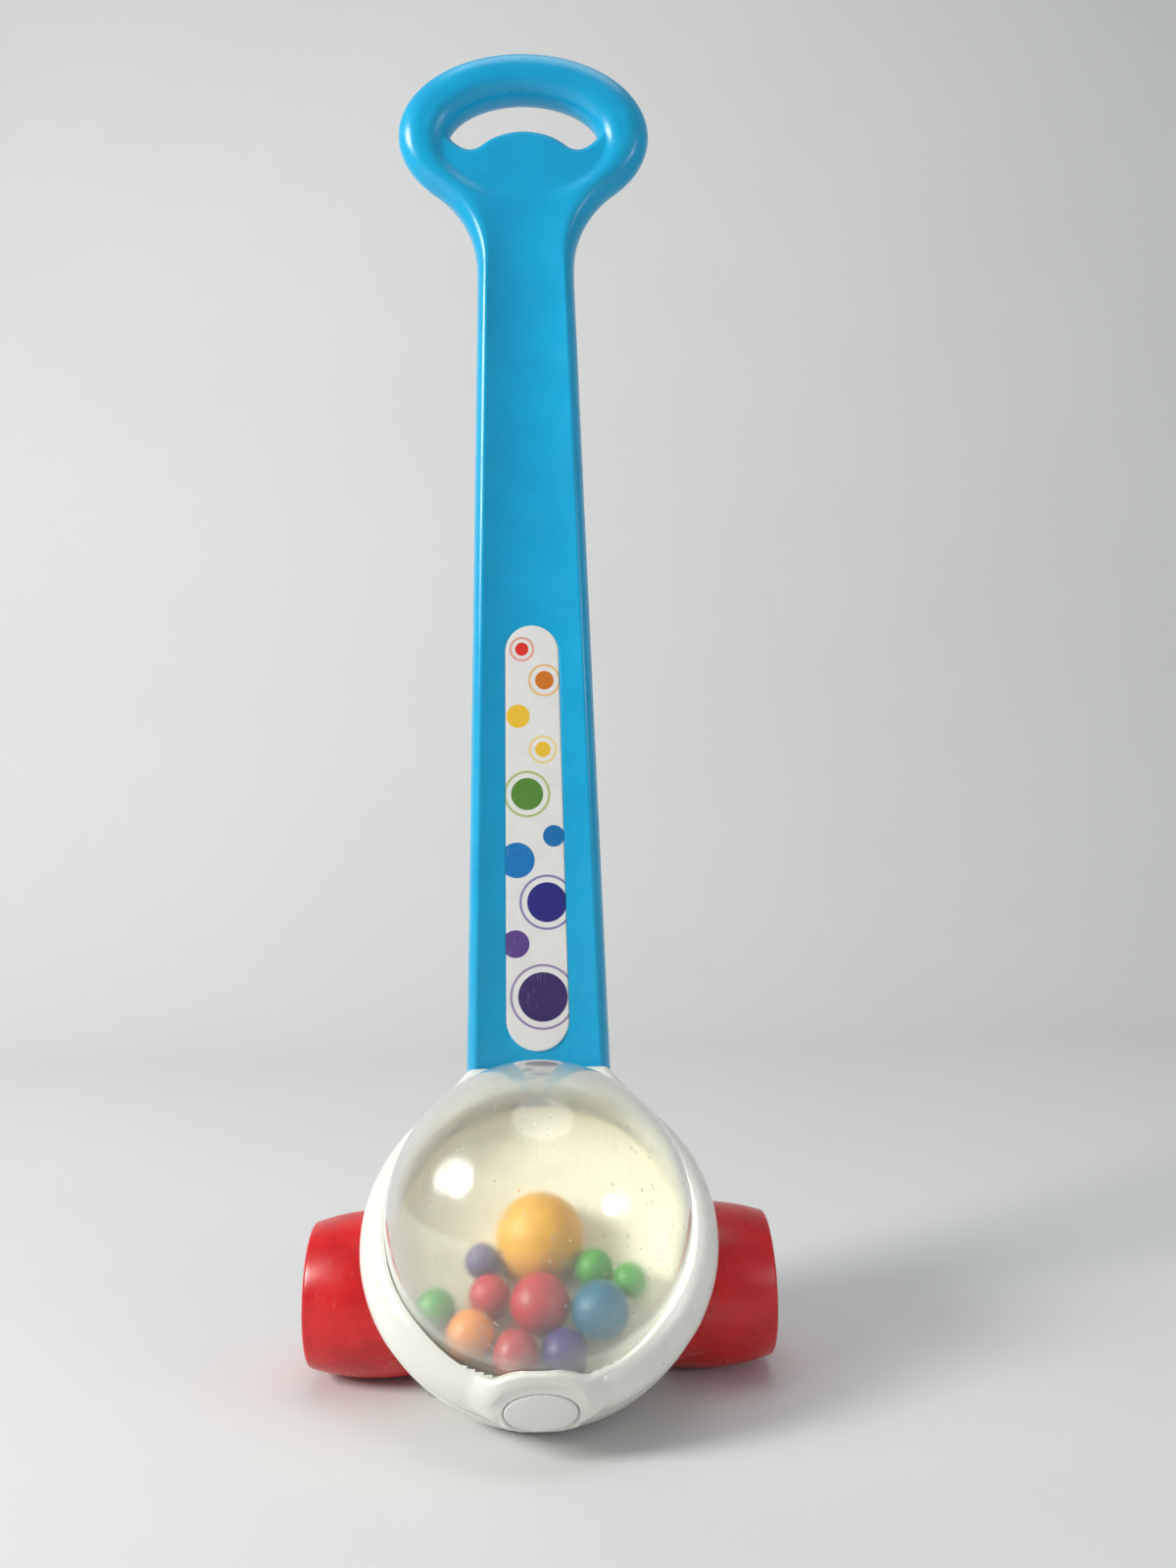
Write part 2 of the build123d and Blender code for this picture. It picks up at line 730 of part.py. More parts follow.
# Wheel wells, as cut and as kept free of the hollow
with BuildPart() as wells:
    for side in (-1, 1):
        with BuildSketch(side_plane(side * well_wall_x)):
            Circle(well_radius)
        extrude(amount=side * bowl_radius)
with BuildPart() as well_stock:
    for side in (-1, 1):
        with BuildSketch(side_plane(side * (well_wall_x - shell_wall))):
            Circle(well_radius + shell_wall)
        extrude(amount=side * bowl_radius)
        with BuildSketch(side_plane(side * (well_wall_x - bush_length))):
            Circle(bush_radius + bush_boss_wall)
        extrude(amount=side * bush_length)

# Hollow of the lower housing
bowl_center = body_place(0, 0, bowl_center_height)
with BuildPart() as bowl_hollow:
    with Locations(bowl_center):
        Sphere(bowl_radius - shell_wall)
    split(bisect_by=Plane.XY.offset(shell_wall), keep=Keep.TOP)
    add(well_stock.part, mode=Mode.SUBTRACT)
    add(socket_block.part, mode=Mode.SUBTRACT)
    with BuildSketch(body_plane):
        with Locations(*housing_places):
            Circle(screw_head_radius + snug_gap + screw_boss_wall)
    extrude(amount=seam_height, mode=Mode.SUBTRACT)

# Lower housing: ball-shaped shell, cut off at the seam and at the foot
with BuildPart() as lower_housing:
    with Locations(bowl_center):
        Sphere(bowl_radius)
    split(bisect_by=Plane.XY, keep=Keep.TOP)
    add(socket_block.part)
    split(bisect_by=body_plane.offset(seam_height), keep=Keep.BOTTOM)
    add(bowl_hollow.part, mode=Mode.SUBTRACT)
    with BuildSketch(body_plane.offset(seam_height - shelf_thick)):
        Circle(sqrt((bowl_radius - shell_wall / 2) ** 2 - (bowl_center_height - seam_height) ** 2))
        Circle(flange_radius - spigot_wall, mode=Mode.SUBTRACT)
    extrude(amount=shelf_thick)
    with BuildSketch(body_plane.offset(seam_height)):
        Circle(flange_radius)
        Circle(flange_radius - spigot_wall, mode=Mode.SUBTRACT)
    extrude(amount=rim_low - seam_height)
    add(wells.part, mode=Mode.SUBTRACT)
    add(pocket.part, mode=Mode.SUBTRACT)
    with BuildSketch(side_plane(-half_span)):
        Circle(bush_radius)
    extrude(amount=wheel_span, mode=Mode.SUBTRACT)
    with BuildSketch(body_plane.offset(housing_screw_seat_height)):
        with Locations(*housing_places):
            Circle(screw_radius + snug_gap)
    extrude(amount=seam_height - housing_screw_seat_height + cut_over, mode=Mode.SUBTRACT)
    with BuildSketch(body_plane):
        with Locations(*housing_places):
            Circle(screw_head_radius + snug_gap)
    extrude(amount=housing_screw_seat_height, mode=Mode.SUBTRACT)
    with BuildSketch(handle_plane(handle_back + snug_gap)):
        with Locations(*screw_places):
            Circle(screw_head_radius + snug_gap)
    extrude(
        amount=screw_head_radius + snug_gap - screw_radius,
        taper=countersink_angle,
        mode=Mode.SUBTRACT,
    )
    with BuildSketch(handle_plane(handle_back)):
        with Locations(*screw_places):
            Circle(screw_radius + shaft_gap)
    extrude(amount=tang_step + cut_over, mode=Mode.SUBTRACT)
save(lower_housing, "lower_housing")

# Stock for the collar: the ring, its shoulders and the pad of the badge
hug_radius = bore_radius + hug_wall
pad_plane = Plane(
    origin=body_place(0, -pad_center_radius, pad_center_height),
    x_dir=(1, 0, 0),
    z_dir=body_plane.z_dir * cos(radians(pad_tilt)) - body_plane.y_dir * sin(radians(pad_tilt)),
)
pad_axis = Axis(pad_plane.origin, pad_plane.z_dir)
with BuildPart() as shoulders:
    with BuildSketch(body_plane.offset(seam_height)):
        Circle(shoulder_circle_radius)
        corner_x = handle_base_half - shoulder_corner_round
        with Locations((-corner_x, shoulder_reach - shoulder_corner_round)):
            Circle(shoulder_corner_round)
        with Locations((corner_x, shoulder_reach - shoulder_corner_round)):
            Circle(shoulder_corner_round)
        make_hull()
    extrude(amount=shoulder_top_height - seam_height)
    top_face = shoulders.faces().sort_by(dome_axis)[-1]
    fillet(top_face.edges(), radius=shoulder_round)

with BuildPart() as pad:
    with BuildSketch(pad_plane.offset(-pad_depth)):
        Ellipse(pad_width / 2, pad_length / 2)
    extrude(amount=pad_depth + pad_rise)
    fillet(pad.faces().sort_by(pad_axis)[-1].edges(), radius=pad_round)

with BuildPart() as socket_upper:
    add(socket_block.part)
    split(bisect_by=body_plane.offset(seam_height), keep=Keep.TOP)

# Inside of the collar: room for the dome, its flange and the spigot of the lower housing
hug_top = lip_height - hug_top_drop
with BuildPart() as collar_hollow:
    with BuildSketch(profile_plane):
        with BuildLine():
            Polyline(
                (0, seam_height - cut_over),
                (collar_seam_radius - shell_wall, seam_height - cut_over),
                (collar_seam_radius - shell_wall, seam_height),
                (collar_radius - shell_wall, collar_widest_height),
                (hug_radius + hug_top_width, hug_top),
                (hug_radius, hug_top),
                (hug_radius, flange_high),
                (bore_radius, flange_high),
                (bore_radius, dome_center_height),
                (0, dome_center_height),
                (0, seam_height - cut_over),
            )
        make_face()
    revolve(axis=dome_axis)
    with Locations(body_place(0, 0, dome_center_height)):
        Sphere(bore_radius)
    with BuildSketch(body_plane.offset(seam_height)):
        with Locations(*housing_places):
            Circle(boss_radius)
    extrude(amount=housing_screw_bite + boss_cap, mode=Mode.SUBTRACT)

# Upper collar: the white ring around the dome, with shoulders that hold the handle
badge_plane = pad_plane.offset(pad_rise)
with BuildPart() as upper_collar:
    with BuildSketch(profile_plane):
        with BuildLine():
            lip_radius = bore_radius + lip_width
            slope = SagittaArc(
                (lip_radius, lip_height),
                (collar_radius, collar_widest_height),
                lip_bulge_share * (lip_height - collar_widest_height),
            )
            side_arc = TangentArc(
                (collar_radius, collar_widest_height),
                (collar_seam_radius, seam_height),
                tangent=(0, -1),
            )
            Polyline(side_arc @ 1, (0, seam_height), (0, lip_height), slope @ 0)
        make_face()
    revolve(axis=dome_axis)
    add(shoulders.part)
    add(pad.part)
    add(socket_upper.part)
    add(collar_hollow.part, mode=Mode.SUBTRACT)
    add(pocket.part, mode=Mode.SUBTRACT)
    with BuildSketch(level_plane(handle_middle, handle_base_height)):
        Rectangle(2 * (handle_base_half + slip_gap), handle_thick + 2 * slip_gap)
    extrude(amount=handle_thick, mode=Mode.SUBTRACT)
    with BuildSketch(body_plane.offset(seam_height)):
        with Locations(*housing_places):
            Circle(screw_radius)
    extrude(amount=housing_screw_bite + screw_end_gap, mode=Mode.SUBTRACT)
    with BuildSketch(badge_plane.offset(badge_rise - badge_thick)):
        with Locations((0, -badge_drop)):
            Ellipse(badge_width / 2 + snug_gap, badge_length / 2 + snug_gap)
    extrude(amount=badge_thick + cut_over, mode=Mode.SUBTRACT)
save(upper_collar, "upper_collar")

# Plain oval badge in the pad
with BuildPart() as badge:
    with BuildSketch(badge_plane.offset(badge_rise - badge_thick)):
        with Locations((0, -badge_drop)):
            Ellipse(badge_width / 2, badge_length / 2)
    extrude(amount=badge_thick)
    fillet(badge.faces().sort_by(pad_axis)[-1].edges(), radius=badge_round)
save(badge, "oval_badge")

# Four screws that draw the collar down on the lower housing
with BuildPart() as housing_screws:
    with BuildSketch(body_plane.offset(housing_screw_seat_height - screw_head_height)):
        with Locations(*housing_places):
            Circle(screw_head_radius)
    extrude(amount=screw_head_height)
    with BuildSketch(body_plane.offset(housing_screw_seat_height)):
        with Locations(*housing_places):
            Circle(screw_radius)
    extrude(amount=seam_height - housing_screw_seat_height + housing_screw_bite)
    with BuildSketch(body_plane.offset(housing_screw_seat_height - screw_head_height)):
        with Locations(*housing_places):
            Rectangle(2 * drive_radius, drive_bar_width)
            Rectangle(drive_bar_width, 2 * drive_radius)
    extrude(amount=drive_depth, mode=Mode.SUBTRACT)
save(housing_screws, "housing_screws")

# Two countersunk screws through the back of the socket into the tang
with BuildPart() as handle_screws:
    with BuildSketch(handle_plane(handle_back)):
        with Locations(*screw_places):
            Circle(screw_head_radius)
    extrude(amount=screw_head_radius - screw_radius, taper=countersink_angle)
    with BuildSketch(handle_plane(handle_back)):
        with Locations(*screw_places):
            Circle(screw_radius)
    extrude(amount=handle_screw_length)
    with BuildSketch(handle_plane(handle_back)):
        with Locations(*screw_places):
            Rectangle(2 * drive_radius, drive_bar_width)
            Rectangle(drive_bar_width, 2 * drive_radius)
    extrude(amount=drive_depth, mode=Mode.SUBTRACT)
save(handle_screws, "handle_screws")
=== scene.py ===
"""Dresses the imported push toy: smooth shells, moulded plastics, a pale studio and the camera."""
import json
import logging
import math
from collections.abc import Callable
from dataclasses import dataclass, field
from enum import Enum

import bmesh
import bpy
import numpy as np
from mathutils import Matrix, Vector


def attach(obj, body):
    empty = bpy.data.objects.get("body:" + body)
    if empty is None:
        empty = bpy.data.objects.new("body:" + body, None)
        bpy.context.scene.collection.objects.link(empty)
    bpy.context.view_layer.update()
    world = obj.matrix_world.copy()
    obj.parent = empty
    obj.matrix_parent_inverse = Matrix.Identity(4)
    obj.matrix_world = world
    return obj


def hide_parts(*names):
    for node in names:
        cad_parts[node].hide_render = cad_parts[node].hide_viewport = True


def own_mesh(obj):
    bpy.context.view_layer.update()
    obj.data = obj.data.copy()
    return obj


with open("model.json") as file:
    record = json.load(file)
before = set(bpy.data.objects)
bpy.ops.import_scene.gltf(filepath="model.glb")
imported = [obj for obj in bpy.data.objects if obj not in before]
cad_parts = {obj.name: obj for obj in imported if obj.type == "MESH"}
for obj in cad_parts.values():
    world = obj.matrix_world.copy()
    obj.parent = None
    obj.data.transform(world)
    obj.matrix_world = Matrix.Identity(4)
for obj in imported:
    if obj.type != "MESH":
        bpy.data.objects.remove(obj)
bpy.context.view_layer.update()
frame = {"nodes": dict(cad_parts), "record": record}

LOG = logging.getLogger("push_toy")
MM = 0.001
AXLE_Y = 33.377
AXLE_Z = 34.5
AXLE = (0.0, AXLE_Y, AXLE_Z)
LEAN = math.radians(45)
TINY = 1e-6
CREASE = 35.0

Span = tuple[float, float]
Point = tuple[float, float]
Spot = tuple[float, float, float]
Color = tuple[float, float, float]
Faces = list[tuple[int, ...]]
Place = Callable[[np.ndarray], np.ndarray]
Socket = bpy.types.NodeSocket
Value = Socket | float
Tint = Socket | Color


class Side(Enum):
    """The two sides of the toy, as seen from in front of it."""

    LEFT = -1
    RIGHT = 1


class Body(Enum):
    """Bodies of the frame that rebuilt pieces ride on."""

    BASE = "base"
    ROLLING = "rolling"


# ---------------------------------------------------------------- shapes


def ramp(values: np.ndarray, low: float, high: float) -> np.ndarray:
    """Rise smoothly from 0 to 1 between two values.

    Args:
        values: numbers to look up.
        low: where the rise starts.
        high: where it ends.

    Returns:
        The risen shares, from 0 to 1.
    """
    share = np.clip((values - low) / (high - low), 0.0, 1.0)
    return share * share * (3.0 - 2.0 * share)


def blend_up(first: np.ndarray, second: np.ndarray, width: float) -> np.ndarray:
    """Take the larger of two heights with a soft change between them.

    Args:
        first: one set of heights.
        second: the other set.
        width: how far apart the heights may be and still mix.

    Returns:
        The blended heights.
    """
    near = np.clip(width - np.abs(first - second), 0.0, None) / width
    return np.maximum(first, second) + near * near * width * 0.25


def quarter(share: np.ndarray) -> np.ndarray:
    """Height of a quarter circle, from 0 at its edge to 1 on its top."""
    inward = 1.0 - np.clip(share, 0.0, 1.0)
    return np.sqrt(np.clip(1.0 - inward * inward, 0.0, 1.0))


def lean(points: np.ndarray) -> np.ndarray:
    """Turn millimetres across and along the dome's axis into metres of the frame.

    Args:
        points: rows of x, y and z, counted from the axle, z along the dome's axis.

    Returns:
        The same points in the frame, in metres.
    """
    x, y, z = np.asarray(points, float).T
    s, c = math.sin(LEAN), math.cos(LEAN)
    return np.column_stack((x, AXLE_Y + c * y - s * z, AXLE_Z + s * y + c * z)) * MM


def upright(points: np.ndarray) -> np.ndarray:
    """Turn millimetres from the axle, with z straight up, into metres of the frame."""
    return (np.asarray(points, float) + np.array(AXLE)) * MM


def soft_path(points: list[Point], radii: list[float], steps: int = 6) -> np.ndarray:
    """Round the corners of an open path.

    Args:
        points: corners of the path.
        radii: how far back from each inner corner its rounding starts.
        steps: points along each rounding.

    Returns:
        The rounded path, one point a row.
    """
    corners = [np.array(p, float) for p in points]
    out = [corners[0]]
    for before, corner, after, radius in zip(corners, corners[1:], corners[2:], radii):
        if radius <= 0:
            out.append(corner)
            continue
        back, on = before - corner, after - corner
        reach = min(radius, np.linalg.norm(back) / 2, np.linalg.norm(on) / 2)
        start = corner + back / np.linalg.norm(back) * reach
        end = corner + on / np.linalg.norm(on) * reach
        for t in np.linspace(0.0, 1.0, steps + 1):
            out.append((1 - t) ** 2 * start + 2 * t * (1 - t) * corner + t * t * end)
    out.append(corners[-1])
    return np.array(out)


def arc_points(
    center: Point, radius: float, start: float, end: float, steps: int
) -> list[Point]:
    """Give points along an arc.

    Args:
        center: middle of the arc.
        radius: its radius.
        start: angle in degrees at which it starts.
        end: angle at which it ends.
        steps: how many equal steps it has.

    Returns:
        Its points, one more than the steps.
    """
    x, y = center
    angles = np.radians(np.linspace(start, end, steps + 1))
    return [(x + radius * math.cos(a), y + radius * math.sin(a)) for a in angles]


def dimmed(color: Color, share: float) -> Color:
    """Give a colour with each of its channels times a share."""
    return tuple(channel * share for channel in color)


def smooth(mesh: bpy.types.Mesh, crease: float) -> None:
    """Shade a mesh smooth, but for edges past an angle in degrees."""
    mesh.shade_smooth()
    mesh.set_sharp_from_angle(angle=math.radians(crease))


def link(name: str, data: bpy.types.ID) -> bpy.types.Object:
    """Make an object of a mesh, a lamp or a camera and put it in the scene."""
    made = bpy.data.objects.new(name, data)
    bpy.context.scene.collection.objects.link(made)
    return made


def new_mesh(
    name: str, points: np.ndarray, faces: Faces, crease: float = CREASE
) -> bpy.types.Object:
    """Make a smooth-shaded mesh object and put it in the scene.

    Args:
        name: name of the piece.
        points: its vertices in the frame, in metres.
        faces: its faces, as rows of vertex numbers.
        crease: angle in degrees past which an edge stays sharp.

    Returns:
        The new object.
    """
    mesh = bpy.data.meshes.new(name)
    mesh.from_pydata([tuple(p) for p in points], [], faces)
    mesh.validate(clean_customdata=False)
    smooth(mesh, crease)
    return link(name, mesh)


def weld(piece: bpy.types.Object, reach: float = 2e-6, crease: float = CREASE) -> None:
    """Join the vertices of a piece that lie on each other and turn its faces outward.

    Args:
        piece: the piece.
        reach: how far apart joined vertices may lie, in metres.
        crease: angle in degrees past which an edge stays sharp.
    """
    work = bmesh.new()
    work.from_mesh(piece.data)
    bmesh.ops.remove_doubles(work, verts=work.verts, dist=reach)
    bmesh.ops.dissolve_degenerate(work, edges=work.edges, dist=reach)
    bmesh.ops.recalc_face_normals(work, faces=work.faces)
    work.to_mesh(piece.data)
    work.free()
    smooth(piece.data, crease)


def grid_faces(rows: int, columns: int, closed: bool = False) -> Faces:
    """Faces of a grid of vertices.

    Args:
        rows: how many rows of vertices there are.
        columns: how many vertices each row has.
        closed: whether the last vertex of a row joins its first.

    Returns:
        The faces, four vertex numbers each.
    """
    faces = []
    spans = columns if closed else columns - 1
    for row in range(rows - 1):
        for column in range(spans):
            a = row * columns + column
            b = row * columns + (column + 1) % columns
            faces.append((a, b, b + columns, a + columns))
    return faces


def shifted(faces: Faces, by: int, turned: bool = False) -> Faces:
    """Give faces whose vertices start at another number, turned over where asked."""
    return [tuple(i + by for i in (reversed(face) if turned else face)) for face in faces]


@dataclass
class Lathe:
    """A turned piece: a closed or open profile carried round an axis."""

    profile: np.ndarray
    segments: int = 160
    closed: bool = True

    def build(self, name: str, place: Place, crease: float = CREASE) -> bpy.types.Object:
        """Turn the profile into a mesh.

        Args:
            name: name of the piece.
            place: function that turns local rows of x, y, z into the frame.
            crease: angle in degrees past which an edge stays sharp.

        Returns:
            The new object.
        """
        angles = np.linspace(0.0, 2 * math.pi, self.segments, endpoint=False)
        points, rings = [], []
        for radius, height in self.profile:
            rings.append(len(points))
            if radius < TINY:
                points.append((0.0, 0.0, height))
                continue
            points.extend((radius * math.sin(a), -radius * math.cos(a), height) for a in angles)
        faces = []
        count = len(self.profile)
        pairs = [(i, (i + 1) % count) for i in range(count if self.closed else count - 1)]
        for low, high in pairs:
            thin_low, thin_high = (self.profile[i][0] < TINY for i in (low, high))
            for k in range(self.segments):
                n = (k + 1) % self.segments
                a, b = rings[low] + k, rings[low] + n
                c, d = rings[high] + n, rings[high] + k
                if thin_low and thin_high:
                    continue
                if thin_low:
                    faces.append((rings[low], c, d))
                elif thin_high:
                    faces.append((a, b, rings[high]))
                else:
                    faces.append((a, b, c, d))
        made = new_mesh(name, place(np.array(points)), faces, crease)
        weld(made, crease=crease)
        return made


# ---------------------------------------------------------------- finishes


SCRATCH_TILT = 0.7
SCRATCH_EDGE = 0.035
SCRATCH_PATCH_MM = 9.0
SCRATCH_PATCH = (0.48, 0.6)


class Nodes:
    """A material's node tree, with short calls for the nodes that the finishes use."""

    def __init__(self, name: str) -> None:
        """Start a material with a Principled shader.

        Args:
            name: name of the material.
        """
        self.material = bpy.data.materials.new(name)
        self.material.use_nodes = True
        self.tree = self.material.node_tree
        self.tree.nodes.clear()
        self.output = self.tree.nodes.new("ShaderNodeOutputMaterial")
        self.shader = self.tree.nodes.new("ShaderNodeBsdfPrincipled")
        self.tree.links.new(self.shader.outputs[0], self.output.inputs["Surface"])
        self.place = self.tree.nodes.new("ShaderNodeTexCoord").outputs["Object"]

    def add(
        self, kind: str, inputs: dict[str | int, object] | None = None, **settings: object
    ) -> bpy.types.Node:
        """Add a node.

        Args:
            kind: Blender's name of the node type, without its first part.
            inputs: values or sockets for its inputs, by name or number.
            settings: properties of the node.

        Returns:
            The new node.
        """
        node = self.tree.nodes.new("ShaderNode" + kind)
        for name, value in settings.items():
            setattr(node, name, value)
        for name, value in (inputs or {}).items():
            if isinstance(value, Socket):
                self.tree.links.new(value, node.inputs[name])
            else:
                node.inputs[name].default_value = value
        return node

    def math(self, operation: str, first: Value, second: Value = 0.0) -> Socket:
        """Add a Math node and return its result."""
        return self.add("Math", {0: first, 1: second}, operation=operation).outputs[0]

    def times(self, first: Value, second: Value) -> Socket:
        """Multiply two values."""
        return self.math("MULTIPLY", first, second)

    def plus(self, first: Value, second: Value) -> Socket:
        """Add two values."""
        return self.math("ADD", first, second)

    def noise(self, size_mm: float, detail: float) -> Socket:
        """Add noise.

        Args:
            size_mm: size of its blotches in millimetres.
            detail: how many finer layers it has.

        Returns:
            The socket with the noise, around 0.5.
        """
        scale = 1.0 / (size_mm * MM)
        return self.add(
            "TexNoise", {"Vector": self.place, "Scale": scale, "Detail": detail}
        ).outputs[0]

    def streaks(self, sizes_mm: Spot, detail: float = 2.0, turns: Spot = (0, 0, 0)) -> Socket:
        """Add noise that is stretched along the axes.

        Args:
            sizes_mm: size of its streaks along each axis.
            detail: how many finer layers it has.
            turns: angles in degrees that the axes are turned by.

        Returns:
            The socket with the noise, around 0.5.
        """
        scale = tuple(1 / (size * MM) for size in sizes_mm)
        rotation = tuple(math.radians(turn) for turn in turns)
        where = self.add("Mapping", {"Vector": self.place, "Rotation": rotation, "Scale": scale})
        return self.add(
            "TexNoise", {"Vector": where.outputs[0], "Scale": 1.0, "Detail": detail}
        ).outputs[0]

    def cells(self, size_mm: float) -> Socket:
        """Give the distance from the middles of cells that lie at random."""
        scale = 1 / (size_mm * MM)
        return self.add(
            "TexVoronoi", {"Vector": self.place, "Scale": scale, "Randomness": 1.0}
        ).outputs[0]

    def spread(self, value: Socket, read: Span, result: Span = (0.0, 1.0)) -> Socket:
        """Map a value from one span to another, held at its ends.

        Args:
            value: socket to map.
            read: start and end of the span that is read.
            result: results at that start and end.

        Returns:
            The socket with the mapped value.
        """
        inputs = dict(enumerate((value, *read, *result)))
        return self.add("MapRange", inputs, interpolation_type="SMOOTHSTEP").outputs[0]

    def patches(
        self, size_mm: float, detail: float, read: Span, result: Span = (0.0, 1.0)
    ) -> Socket:
        """Give soft patches: noise of a size and detail, mapped as in spread."""
        return self.spread(self.noise(size_mm, detail), read, result)

    def mix(self, share: Value, first: Tint, second: Tint) -> Socket:
        """Mix two colours.

        Args:
            share: how much of the second, as a number or a socket.
            first: first colour.
            second: second colour.

        Returns:
            The socket with the mixed colour.
        """
        tints = (t if isinstance(t, Socket) else (*t, 1.0) for t in (first, second))
        inputs = dict(zip((0, 6, 7), (share, *tints)))
        return self.add("Mix", inputs, data_type="RGBA").outputs[2]

    def scratches(
        self, across_mm: float, along_mm: float, turn: float, keep: float
    ) -> Socket:
        """Give a mask of fine straight scratches.

        Args:
            across_mm: spacing of the scratches.
            along_mm: their length.
            turn: their direction in degrees.
            keep: noise level above which a scratch shows.

        Returns:
            The socket with the mask, 1 on a scratch.
        """
        sizes = (across_mm, along_mm, along_mm)
        lines = self.streaks(sizes, turns=(turn, turn * SCRATCH_TILT, turn))
        sharp = self.spread(lines, (keep, keep + SCRATCH_EDGE))
        return self.times(sharp, self.patches(SCRATCH_PATCH_MM, 2.0, SCRATCH_PATCH))

    def crossed(self, *sets: tuple[float, float, float, float]) -> Socket:
        """Lay two sets of scratches over each other."""
        return self.math("MAXIMUM", *(self.scratches(*one) for one in sets))

    def bump(
        self, height: Socket, strength: float, depth_mm: float, under: Socket | None = None
    ) -> Socket:
        """Add a bump.

        Args:
            height: socket with the height.
            strength: share of the bump that is used.
            depth_mm: height in millimetres that 1 stands for.
            under: normal of a bump below this one, or None.

        Returns:
            The socket with the normal.
        """
        inputs = {"Height": height, "Strength": strength, "Distance": depth_mm * MM}
        if under is not None:
            inputs["Normal"] = under
        return self.add("Bump", inputs).outputs[0]

    def set(self, **values: Value | Color) -> None:
        """Set or link the shader's inputs, with underscores for spaces."""
        for name, value in values.items():
            slot = self.shader.inputs[name.replace("_", " ")]
            if isinstance(value, Socket):
                self.tree.links.new(value, slot)
            elif slot.type == "RGBA":
                slot.default_value = (*value, 1.0)
            else:
                slot.default_value = value


@dataclass(frozen=True)
class MouldedPlastic:
    """Glossy moulded plastic with soft mottling, a fine grain and a few handling marks."""

    name: str
    color: Color
    shade: Color
    roughness: float = 0.3
    rough_span: Span = (0.82, 1.2)
    mottle_mm: float = 26.0
    grain_mm: float = 0.5
    grain_depth: float = 0.012
    wave_mm: float = 26.0
    wave_depth: float = 0.05
    scratches: tuple[tuple[float, ...], ...] = ((0.35, 14.0, 31.0, 0.66), (0.28, 9.0, -58.0, 0.67))
    scratch_share: float = 0.35
    scratch_depth: float = 0.012
    scratch_dull: float = 0.18
    pale_share: float = 0.7
    pale_lift: float = 0.28
    specks: float = 0.0
    speck_mm: float = 7.0
    speck_color: Color = (0.25, 0.2, 0.15)
    coat: float = 0.0
    glow: float = 0.0
    glow_reach: Spot = (0.004, 0.0035, 0.0025)

    def make(self) -> bpy.types.Material:
        """Build the material."""
        n = Nodes(self.name)
        color = n.mix(n.patches(self.mottle_mm, 4.0, (0.35, 0.68)), self.color, self.shade)
        marks = n.crossed(*self.scratches)
        pale = tuple(min(1.0, c * self.pale_share + self.pale_lift) for c in self.color)
        color = n.mix(n.times(marks, self.scratch_share), color, pale)
        if self.specks:
            dirt = n.spread(n.cells(self.speck_mm), (0.075, 0.03))
            dirt = n.times(n.times(dirt, n.patches(30.0, 2.0, (0.5, 0.62))), self.specks)
            color = n.mix(dirt, color, self.speck_color)
        low, high = (self.roughness * share for share in self.rough_span)
        rough = n.patches(18.0, 3.0, (0.3, 0.7), (low, high))
        rough = n.plus(rough, n.times(marks, self.scratch_dull))
        grain = n.bump(n.noise(self.grain_mm, 2.0), 0.6, self.grain_depth)
        wave = n.bump(n.noise(self.wave_mm, 1.0), 0.4, self.wave_depth, grain)
        cut = n.bump(marks, 0.5, -self.scratch_depth, wave)
        n.set(Base_Color=color, Roughness=rough, Normal=cut, IOR=1.5)
        n.set(Coat_Weight=self.coat, Coat_Roughness=0.12)
        if self.glow:
            n.set(Subsurface_Weight=self.glow, Subsurface_Radius=self.glow_reach)
        return n.material


@dataclass(frozen=True)
class Steel:
    """Drawn or turned steel with fine lines."""

    name: str
    color: Color = (0.56, 0.56, 0.55)
    roughness: float = 0.28
    line_mm: float = 0.22
    along: int = 0
    run_mm: float = 24.0
    dull_share: float = 0.8
    rough_span: Span = (0.7, 1.4)

    def make(self) -> bpy.types.Material:
        """Build the material."""
        n = Nodes(self.name)
        sizes = [self.line_mm] * 3
        sizes[self.along] = self.run_mm
        lines = n.streaks(tuple(sizes))
        dull = n.patches(6.0, 3.0, (0.4, 0.7))
        color = n.mix(dull, self.color, dimmed(self.color, self.dull_share))
        low, high = (self.roughness * share for share in self.rough_span)
        rough = n.spread(lines, (0.3, 0.7), (low, high))
        n.set(Base_Color=color, Roughness=rough, Metallic=1.0, Normal=n.bump(lines, 0.4, 0.01))
        return n.material


